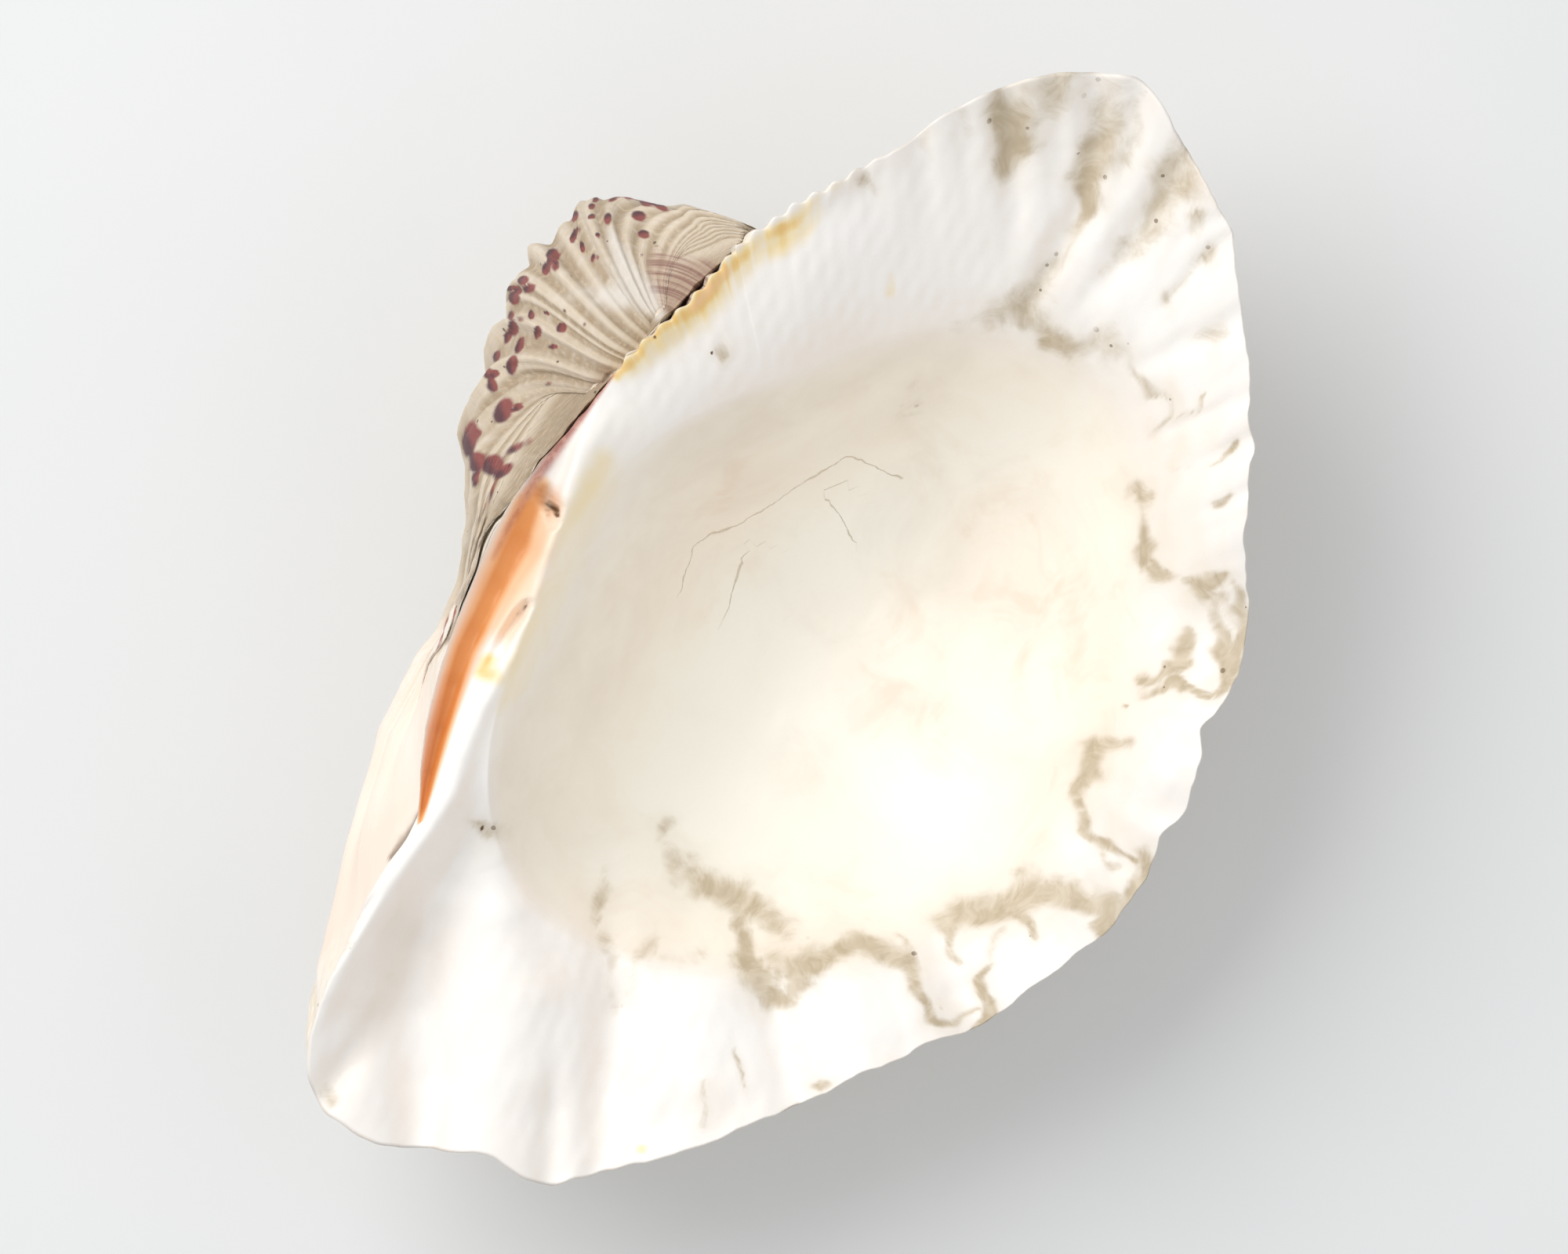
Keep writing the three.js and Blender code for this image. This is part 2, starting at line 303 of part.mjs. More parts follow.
function outside(u, turn) {
  const n = outward(u, turn), rib = at(ribs, u);
  const r = rib * size(turn) * lerpTable(turn, [0, 0.35, 1.2, 2.2, 2.8, 4.0, 4.45], [0.55, 1.0, 1.15, 1.45, 1.6, 1.1, 0.0]);
  const p = flank(growth(u, turn)).map((v, i) => v + n[i] * r);
  const n0 = outward(u, 0), p0 = flank(growth(u, 0)).map((v, i) => v + n0[i] * rib * 0.55);
  const e = [...at(edgeXY, u), at(edgeZ, u)];
  const fade = Math.exp(-((turn / 0.17) ** 2));
  const q = p.map((v, i) => v + (e[i] - p0[i]) * fade);
  q[2] -= EDGE_THICK * (1 - Math.exp(-turn / 0.008)) * Math.exp(-((turn / 0.30) ** 2));
  const kn = KNUCKLE * knuckle(u) * smooth(1.6, 2.4, turn) * Math.min(size(turn) / size(2.35), 1.5);
  const lean = smooth(2.3, 4.1, turn);
  for (let i = 0; i < 3; i++) q[i] += n[i] * kn + BEAK_SHIFT[i] * lean;
  // the top of the umbo climbs to the hinge edge
  const ed = lerpTable(q[0], HINGE_X, HINGE_Y), off = q[1] - ed;
  const gap = lipZ(q[0], ed) - 3.1 - Math.max(off, 0) - q[2];
  const lo = lerpTable(((u % 1) + 1) % 1, CLIMB_U, CLIMB_TURN), far = -24 - (20 * (lo - 0.1)) / 1.8;
  q[2] += Math.min(0.5 * (gap + Math.sqrt(gap * gap + 4)), 14) * smooth(lo, lo + 0.12 + 0.26 * lo, turn)
    * smooth(-1 + 0.6 * lo, 0.15 + 1.2 * lo, off) * smooth(far - 16, far, q[0]) * (1 - smooth(40, 54, q[0]));
  q[2] = Math.max(q[2], WEAR_Z);
  return q;
}

// ---- inside ------------------------------------------------------------------------
function inside(u, v) {              // v = 0 at the edge, 1 at the brink, 2 at the middle of the floor
  const m = at(edgeXY, u), mz = at(edgeZ, u);
  const dx = m[0] - CENTRE[0], dy = m[1] - CENTRE[1], R = Math.hypot(dx, dy);
  const th = ((Math.atan2(dy, dx) * 180) / Math.PI + 360) % 360;
  const q2 = cyclic(BRINK, th / 5), z2 = cyclic(BRINK_Z, th / 15), pw = cyclic(BOWL_POWER, th / 15);
  const q = v <= 1 ? R + (q2 - R) * v : q2 * (2 - v);
  const w = 1 - q / R, x = CENTRE[0] + dx * (1 - w), y = CENTRE[1] + dy * (1 - w);
  const zm = lipZ(m[0], m[1]);
  let z;
  if (q <= q2) {
    const k = q / q2;
    z = FLOOR_Z + (z2 - FLOOR_Z) * k ** pw - 0.16 * (y - CENTRE[1]) * (1 - k * k) ** 2;
  } else {
    const t = Math.min(1, (q - q2) / Math.max(R - q2, 1e-3));
    const s2 = Math.min(cyclic(BRINK_ROUND, th / 15) * pw * (z2 - FLOOR_Z) / q2 * (R - q2), 1.9 * (zm - z2));
    const s1 = Math.min(cyclic(EDGE_SLOPE, th / 15) * (R - q2), 1.9 * (zm - z2));
    z = (2 * t ** 3 - 3 * t ** 2 + 1) * z2 + (t ** 3 - 2 * t ** 2 + t) * s2
      + (-2 * t ** 3 + 3 * t ** 2) * zm + (t ** 3 - t ** 2) * s1;
  }
  z += relief(x, y);
  z += (mz - (zm + relief(m[0], m[1]))) * Math.exp(-(((R * w) / 3.6) ** 2));
  return [x, y, z];
}

// ---- one closed skin ---------------------------------------------------------------
const AROUND = 192;                  // places round the edge
const steps = [];
{
  // closer together along the small teeth and along the hinge
  const w = edgeXY.map(([x, y], i) => 1 + 2.0 * crenels[i] + (y > 5 ? 1.3 * smooth(-94, -84, x) * (1 - smooth(2, 14, x)) : 0));
  const cum = [0];
  for (let i = 0; i < NM; i++) cum.push(cum[i] + w[i]);
  let k = 0;
  for (let j = 0; j < AROUND; j++) {
    const t = (j * cum[NM]) / AROUND;
    while (cum[k + 1] <= t) k++;
    steps.push((k + (t - cum[k]) / w[k]) / NM);
  }
}
const verts = [], faces = [];
const ring = (fn, n, p) => {
  const ids = [];
  for (let j = 0; j < n; j++) {
    ids.push(verts.length);
    verts.push(fn(steps[(j * AROUND) / n], p));
  }
  return ids;
};
const push = (a, b, c, flip) => faces.push(flip ? [a, c, b] : [a, b, c]);
function join(r0, r1, flip) {
  const n0 = r0.length, n1 = r1.length;
  if (n0 === n1) {
    for (let j = 0; j < n0; j++) {
      const k = (j + 1) % n0;
      push(r0[j], r1[j], r1[k], flip);
      push(r0[j], r1[k], r0[k], flip);
    }
  } else {                           // half as many points on the next ring
    for (let j = 0; j < n1; j++) {
      const a = r0[2 * j], b = r0[2 * j + 1], c = r0[(2 * j + 2) % n0], p = r1[j], q = r1[(j + 1) % n1];
      push(a, p, b, flip);
      push(b, p, q, flip);
      push(b, q, c, flip);
    }
  }
}
const edgeRing = ring(inside, AROUND, 0);
let prev = edgeRing;
for (const [v, n] of [[0.06, 192], [0.14, 192], [0.24, 192], [0.38, 192], [0.54, 192], [0.74, 192], [0.95, 192],
  [1.1, 96], [1.22, 96], [1.36, 96], [1.5, 96], [1.66, 48], [1.8, 48], [1.92, 48]]) {
  const r = ring(inside, n, v);
  join(prev, r, false);
  prev = r;
}
{
  const c = verts.length;
  verts.push(inside(0, 2));
  prev.forEach((v, j) => push(v, c, prev[(j + 1) % prev.length], false));
}
prev = edgeRing;
for (const [t, n] of [[0.03, 192], [0.08, 192], [0.15, 192], [0.24, 96], [0.34, 96], [0.45, 96], [0.57, 96], [0.69, 96],
  [0.8, 96], [0.9, 96], [1.0, 96], [1.1, 96], [1.21, 96], [1.34, 96], [1.5, 96], [1.7, 96], [1.92, 96], [2.16, 96],
  [2.4, 96], [2.65, 96], [2.9, 96], [3.15, 96], [3.42, 96], [3.72, 96], [4.05, 96], [TURN_END, 48]]) {
  const r = ring(outside, n, t);
  join(prev, r, true);
  prev = r;
}
{
  // rounded tip of the beak
  const mid = [0, 1, 2].map((k) => prev.reduce((s, v) => s + verts[v][k], 0) / prev.length);
  const last = prev.map((v) => verts[v]);
  for (const s of [0.66, 0.33]) {
    const r = last.map((p) => {
      verts.push([mid[0] + (p[0] - mid[0]) * s, mid[1] + (p[1] - mid[1]) * s, mid[2] + (p[2] - mid[2]) * s + (1 - s * s) * 0.8]);
      return verts.length - 1;
    });
    join(prev, r, true);
    prev = r;
  }
  const c = verts.length;
  verts.push([mid[0], mid[1], mid[2] + 0.8]);
  prev.forEach((v, j) => push(v, c, prev[(j + 1) % prev.length], true));
}

const position = new Float32Array(verts.length * 3);
verts.forEach(([x, y, z], i) => position.set([x - ORIGIN[0], y - ORIGIN[1], z - WEAR_Z], i * 3));
const index = [];
for (const [a, b, c] of faces) {
  const pa = verts[a], pb = verts[b], pc = verts[c];
  const ab = sub(pb, pa), ac = sub(pc, pa);
  const area = Math.hypot(ab[1] * ac[2] - ab[2] * ac[1], ab[2] * ac[0] - ab[0] * ac[2], ab[0] * ac[1] - ab[1] * ac[0]);
  if (area > 0) index.push(a, b, c);
}
// signed volume decides the winding, so that the faces point out
let vol = 0;
for (let i = 0; i < index.length; i += 3) {
  const [a, b, c] = [verts[index[i]], verts[index[i + 1]], verts[index[i + 2]]];
  vol += a[0] * (b[1] * c[2] - b[2] * c[1]) - a[1] * (b[0] * c[2] - b[2] * c[0]) + a[2] * (b[0] * c[1] - b[1] * c[0]);
}
if (vol < 0) for (let i = 0; i < index.length; i += 3) [index[i + 1], index[i + 2]] = [index[i + 2], index[i + 1]];

const geometry = new THREE.BufferGeometry();
geometry.setAttribute('position', new THREE.BufferAttribute(position, 3));
geometry.setIndex(index);
geometry.computeVertexNormals();

const valve = new THREE.Mesh(geometry, new THREE.MeshStandardMaterial({ color: 0xf4ece2, roughness: 0.42, metalness: 0 }));
valve.name = 'valve';

const shell = new THREE.Group();
shell.name = 'bear_paw_clam_valve';
shell.add(valve);

export default shell;
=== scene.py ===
import math
import bpy
import numpy as np
from mathutils import Matrix, Vector


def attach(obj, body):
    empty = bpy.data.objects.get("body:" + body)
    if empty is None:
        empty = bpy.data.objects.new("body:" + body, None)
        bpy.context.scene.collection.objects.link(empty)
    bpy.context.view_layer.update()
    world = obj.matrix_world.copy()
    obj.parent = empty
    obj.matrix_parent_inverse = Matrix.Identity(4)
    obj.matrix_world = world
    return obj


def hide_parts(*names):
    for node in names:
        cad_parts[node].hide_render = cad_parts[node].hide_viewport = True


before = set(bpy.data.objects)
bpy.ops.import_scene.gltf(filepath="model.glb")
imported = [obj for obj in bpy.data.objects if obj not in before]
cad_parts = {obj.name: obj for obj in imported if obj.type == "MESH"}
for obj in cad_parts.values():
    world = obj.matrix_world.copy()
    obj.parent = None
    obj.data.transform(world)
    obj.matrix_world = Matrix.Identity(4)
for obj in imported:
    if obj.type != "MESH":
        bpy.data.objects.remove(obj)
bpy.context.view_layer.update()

# ------------------------------------------------------------------ tables of the shell, mm
CEN = np.array([0.0, -8.0]); BEAK = (23.0, 43.3, -12.0); NM = 928; TURN_END = 4.45; DEEP = 0.92
ORIGIN = np.array([-1.53, -0.7]); WEAR_Z = -60.71; FLOOR_Z = -50.0; EDGE_THICK = 1.5
MARGIN = [
 [37.31,39.59], [40.29,39.15], [43.37,38.06], [46.88,37.33], [49.79,36.1], [52.61,34.8], [57.62,33.13], [63.35,30.6],
 [70.37,29.14], [76.1,26.61], [81.39,23.73], [85.83,20.13], [89.4,15.81], [92.53,11.14], [92.16,7.2], [90.06,1.83],
 [88.32,-3.97], [85.87,-8.91], [83.98,-13.67], [79.88,-17.49], [76.07,-21.67], [72.33,-25.93], [68.51,-30.1], [64.7,-32.53],
 [62.83,-35.53], [59.52,-36.81], [56.29,-39.92], [51.26,-42.63], [49.02,-45.2], [44.2,-49.92], [39.53,-53.06], [34.15,-55.33],
 [28.55,-55.6], [26.62,-55.02], [24.39,-57.59], [20.22,-59.58], [15.7,-61.15], [11.4,-60.34], [9.53,-61.6], [5.94,-63.41],
 [1.57,-63.39], [-4.82,-63.58], [-8.68,-62.42], [-14.13,-61.11], [-19.57,-59.8], [-23.87,-59.0], [-27.74,-57.83], [-32.17,-54.23],
 [-37.19,-52.57], [-43.2,-48.82], [-48.21,-47.15], [-53.5,-44.26], [-58.8,-41.38], [-64.27,-38.63], [-71.25,-34.23], [-77.54,-29.26],
 [-83.38,-25.37], [-84.68,-20.63], [-85.38,-15.4], [-89.23,-9.86], [-93.08,-4.33], [-95.08,-0.16], [-95.63,6.65], [-92.74,11.95],
 [-89.07,14.55], [-84.76,16.37], [-79.02,18.21], [-75.36,19.06], [-68.83,20.83], [-63.16,21.88], [-57.57,22.15], [-53.91,22.99],
 [-48.59,27.11], [-42.84,30.7], [-36.59,33.69], [-29.98,36.24], [-23.02,38.37], [-16.06,40.5], [-9.6,41.48], [-2.43,41.6],
 [5.1,41.28], [11.48,41.47], [15.85,41.46], [19.79,41.09], [24.09,40.28], [30.4,39.69]]
Q2 = [
 56.4, 55.6, 54.3, 52.5, 50.5, 48.3, 46.3, 44.4, 42.8, 41.5, 40.6, 40.1, 39.8, 39.7, 39.8, 39.9, 40.0, 40.1, 40.2, 40.2, 40.3, 40.5, 40.8, 41.3,
 42.1, 43.2, 44.6, 46.2, 48.1, 49.9, 51.5, 52.8, 53.7, 54.1, 54.0, 53.5, 52.7, 51.6, 50.3, 48.9, 47.6, 46.4, 45.3, 44.5, 43.9, 43.4, 43.2, 43.0,
 43.0, 43.0, 43.1, 43.4, 43.6, 43.7, 43.6, 43.4, 43.0, 42.6, 42.5, 42.8, 43.4, 44.3, 45.4, 46.5, 47.7, 48.9, 50.3, 51.8, 53.4, 54.9, 56.0, 56.6]
Z2 = [-22,-19.5,-15,-11,-8,-6,-5,-4.2,-4.2,-5,-7.5,-17,-20.5,-24,-25.5,-27,-28,-28.5,-28,-28.5,-27.5,-27,-26,-24]
PW = [2.6,2.5,2.4,2.4,2.4,2.4,2.4,2.4,2.4,2.4,2.5,2.5,2.5,2.4,2.3,2.3,2.3,2.3,2.3,2.3,2.3,2.4,2.5,2.6]
KC = [0.8,0.6,0.5,0.5,0.5,0.5,0.5,0.5,0.5,0.6,0.7,0.8,0.9,1,1,1,1,1,1,1,1,1,1,0.9]
SHM = [0.9,0.8,0.5,0.35,0.3,0.3,0.3,0.3,0.3,0.3,0.3,0.4,0.35,0.3,0.3,0.3,0.3,0.3,0.3,0.3,0.3,0.35,0.4,0.6]
CREST = [
 [57.73,31.77,0.5], [66.17,29.3,0.9], [73.23,27.44,0.9], [79.58,24.7,1.6], [84.94,20.85,1.2], [89.04,16.24,1.8], [92.53,10.27,1.4], [89.19,-0.64,2.0],
 [83.98,-13.67,1.0], [75.42,-22.64,2.2], [62.51,-35.5,2.8], [53.63,-41.98,0.8], [42.41,-51.26,3.4], [23.96,-57.95,1.2], [2.93,-63.28,3.0], [-13.6,-61.4,2.0],
 [-26.45,-58.51,4.2], [-40.45,-50.91,1.2], [-52.3,-45.01,4.3], [-66.39,-37.48,1.6], [-78.69,-28.76,3.4], [-85.07,-18.05,1.2], [-90.63,-7.82,3.0], [-95.19,7.01,2.4],
 [-84.76,16.37,1.2], [-71.92,20.16,1.0], [-58.79,21.86,0.8]]
EX = [-96,-93,-75,-53.5,-36,-12,11,23,37.3,57.6,76.1,92]; EY = [7,12,19.5,24.5,34.2,41.0,41.4,41,39.4,32.9,26.5,12]
KX = [-96,-88,-80,-72,-64,-56,-48,-40,-32,-24,-16,-8,0,8,16,24,30,36,40,46,96]
KV = [1.0, 0.4, 0.6, 0.61, 0.75, 0.79, 0.77, 0.46, 0.17, 0.16, 0.4, 0.95, 0.88, 0.92, 0.97, 1.0, 1.15, 0.8, 1.0, 1.0, 1.0]
# relief of the inside: power, path of [x, y, half width, height]
FEAT = [
 [2,[[44.62,-53.94,8.96,-3.8],[38.57,-48.03,8.29,-3.6],[36.15,-44.23,6.72,-2.6],[33.89,-39.56,5.04,-0.6]]],
 [2,[[3.63,-66.77,4.48,-3.6],[4.26,-59.27,4.26,-3.4],[5.07,-54.97,3.7,-2.6],[7.14,-49.04,3.14,-0.5]]],
 [2,[[-27.46,-60.8,4.48,-3.6],[-24.28,-53.23,4.03,-3.3],[-21.25,-47.23,3.36,-2.2],[-18.08,-42.28,2.91,-0.4]]],
 [2,[[-52.8,-46.88,3.36,-2.2],[-47.46,-39.27,2.91,-2.2],[-42.49,-32.97,3.14,-2.1],[-37.81,-25.46,3.14,-0.5]]],
 [2,[[-78.48,-30.77,3.58,-2.6],[-68.06,-23.16,3.14,-2.5],[-57.85,-16.17,3.36,-3.0],[-50.8,-8.88,3.92,-2.0],[-45.75,-1.8,3.36,-0.4]]],
 [2,[[-84.56,-26.05,2.46,-1.7],[-74.71,-18.63,2.02,-1.1],[-68.02,-13.54,1.34,-0.2]]],
 [2,[[-92.89,-8.96,3.81,-4.0],[-82.89,-1.71,4.48,-4.8],[-75.98,5.75,5.15,-5.2],[-68.58,10.86,4.93,-5.0],[-59.18,13.55,4.26,-3.8],[-50.57,15.44,3.81,-2.0],[-43.67,17.65,3.36,-0.4]]],
 [2,[[-97.34,7.85,2.69,-1.8],[-90.2,8.53,2.46,-2.2],[-83.29,8.43,2.69,-1.2],[-76.97,10.46,2.46,-0.3]]],
 [2,[[58.49,33.85,1.9,-0.8],[55.46,29.6,1.68,-0.5],[52.07,24.91,1.34,-0.1]]],
 [2,[[67.22,31.19,2.24,-1.2],[62.76,26.05,1.9,-0.8],[56.57,19.47,1.46,-0.1]]],
 [2,[[74.24,28.86,2.24,-1.1],[69.06,23.7,1.9,-0.6],[63.45,18.19,1.46,-0.1]]],
 [2,[[80.83,26.17,2.91,-2.4],[73.2,18.7,2.46,-2.0],[66.66,12.55,2.02,-0.8],[61.26,8.53,1.57,-0.1]]],
 [2,[[86.26,22.23,2.69,-1.4],[77.63,13.34,2.02,-1.0],[68.64,6.64,1.79,-0.2]]],
 [2,[[90.62,17.84,2.91,-2.4],[82.78,10.63,2.69,-2.3],[72.58,5.39,2.24,-2.0],[63.58,3.62,2.13,-1.7],[56.98,2.81,1.79,-0.9],[54.36,2.82,1.57,-0.2]]],
 [2,[[94.11,10.99,2.13,-1.1],[84.2,5.41,1.79,-0.8],[77.16,2.49,1.34,-0.1]]],
 [2,[[93.42,-0.48,3.36,-2.4],[80.7,-3.01,3.02,-2.1],[71.26,-3.55,2.46,-1.5],[63.04,-3.81,1.9,-0.3]]],
 [2,[[86.43,-11.35,1.12,-0.5],[81.39,-9.13,1.01,-0.6],[78.34,-8.6,0.9,-0.1]]],
 [2,[[84.56,-14.36,1.12,-0.6],[80.5,-12.62,1.12,-0.7],[71.2,-12.62,0.9,-0.4],[68.07,-12.0,0.78,-0.1]]],
 [2,[[77.88,-23.51,2.69,-1.6],[71.27,-20.26,2.13,-1.3],[64.66,-17.01,1.68,-0.6],[59.89,-14.41,1.34,-0.1]]],
 [2,[[69.7,-31.01,1.34,-0.6],[62.55,-27.47,0.9,-0.7],[56.73,-24.3,0.78,-0.4],[53.91,-22.99,0.67,-0.1]]],
 [2,[[66.01,-35.51,1.34,-0.7],[61.07,-33.06,1.12,-0.8],[54.29,-29.95,0.9,-0.2]]],
 [2,[[60.49,-40.08,1.34,-0.6],[53.93,-37.08,1.12,-0.6],[50.44,-35.31,0.9,-0.1]]],
 [2,[[21.87,-58.95,6.5,1.8],[17.59,-53.77,6.5,2.6],[12.65,-51.31,4.03,1.4],[9.57,-50.23,2.69,0.3]]],
 [2,[[28.49,-52.01,4.48,0.8],[23.63,-48.77,4.03,1.0],[20.19,-47.25,2.69,0.3]]],
 [2,[[-13.21,-63.98,5.6,1.8],[-11.03,-57.82,4.48,2.0],[-10.3,-54.31,2.91,0.4]]],
 [2,[[-43.14,-52.4,6.16,1.6],[-37.59,-45.93,5.82,2.4],[-33.35,-41.4,4.03,1.6],[-31.55,-39.18,2.69,0.3]]],
 [2,[[-66.89,-38.62,8.06,1.2],[-57.91,-31.91,7.39,2.0],[-49.14,-25.82,5.82,2.2],[-45.54,-23.14,3.81,0.6]]],
 [2,[[-86.97,-19.62,6.5,1.2],[-75.04,-11.2,6.94,2.4],[-64.48,-4.64,6.5,3.0],[-57.27,4.22,4.48,2.6],[-53.52,10.23,2.69,0.6]]],
 [2,[[55.93,-39.49,6.72,0.6],[51.65,-34.32,6.5,1.4],[48.0,-30.79,3.58,0.8]]],
 [2,[[6.88,39.12,2.02,0.2],[2.14,37.82,2.46,0.9],[-5.61,34.9,2.02,1.5],[-12.36,32.51,1.57,1.7],[-17.82,30.32,1.46,1.7],[-27.91,27.06,1.68,1.9],[-35.97,25.91,1.9,2.1],[-42.86,23.7,2.13,2.3],[-49.23,21.2,2.35,2.6],[-55.78,19.99,2.46,2.8],[-63.39,19.52,2.46,2.7],[-73.86,18.12,2.24,2.4],[-81.97,16.5,1.79,1.6],[-88.14,14.3,1.34,0.4]]],
 [4,[[-7.0,38.69,1.01,-2.0],[-7.8,36.14,1.01,-3.4],[-9.53,34.71,0.78,-1.6]]],
 [3,[[-20.93,30.22,0.67,-2.0],[-22.69,30.07,0.9,-2.6],[-26.31,29.69,0.9,-1.5],[-30.04,28.93,0.78,-0.2]]],
 [4,[[6.46,41.39,0.78,-0.8],[-0.17,40.27,1.46,-1.8],[-8.26,38.81,2.69,-3.2],[-15.21,36.84,3.02,-4.2],[-21.93,35.64,2.8,-4.4],[-28.77,33.9,2.35,-4.4],[-36.17,31.42,1.9,-4.2],[-42.7,28.78,1.34,-3.8],[-48.31,25.89,0.95,-3.0],[-52.44,23.33,0.56,-1.8],[-54.56,22.02,0.45,-0.4]]],
 [2,[[-67.04,20.42,0.56,-0.3],[-71.2,20.17,0.78,-1.2],[-75.65,19.4,0.78,-1.2],[-79.55,18.5,0.56,-0.3]]],
 [2,[[3.84,32.25,3.36,-0.4],[-5.69,32.36,2.24,-0.9],[-13.66,30.56,1.57,-0.9],[-22.13,26.75,1.34,-0.9],[-30.82,23.2,1.34,-0.6],[-37.07,20.21,1.12,-0.1]]]]
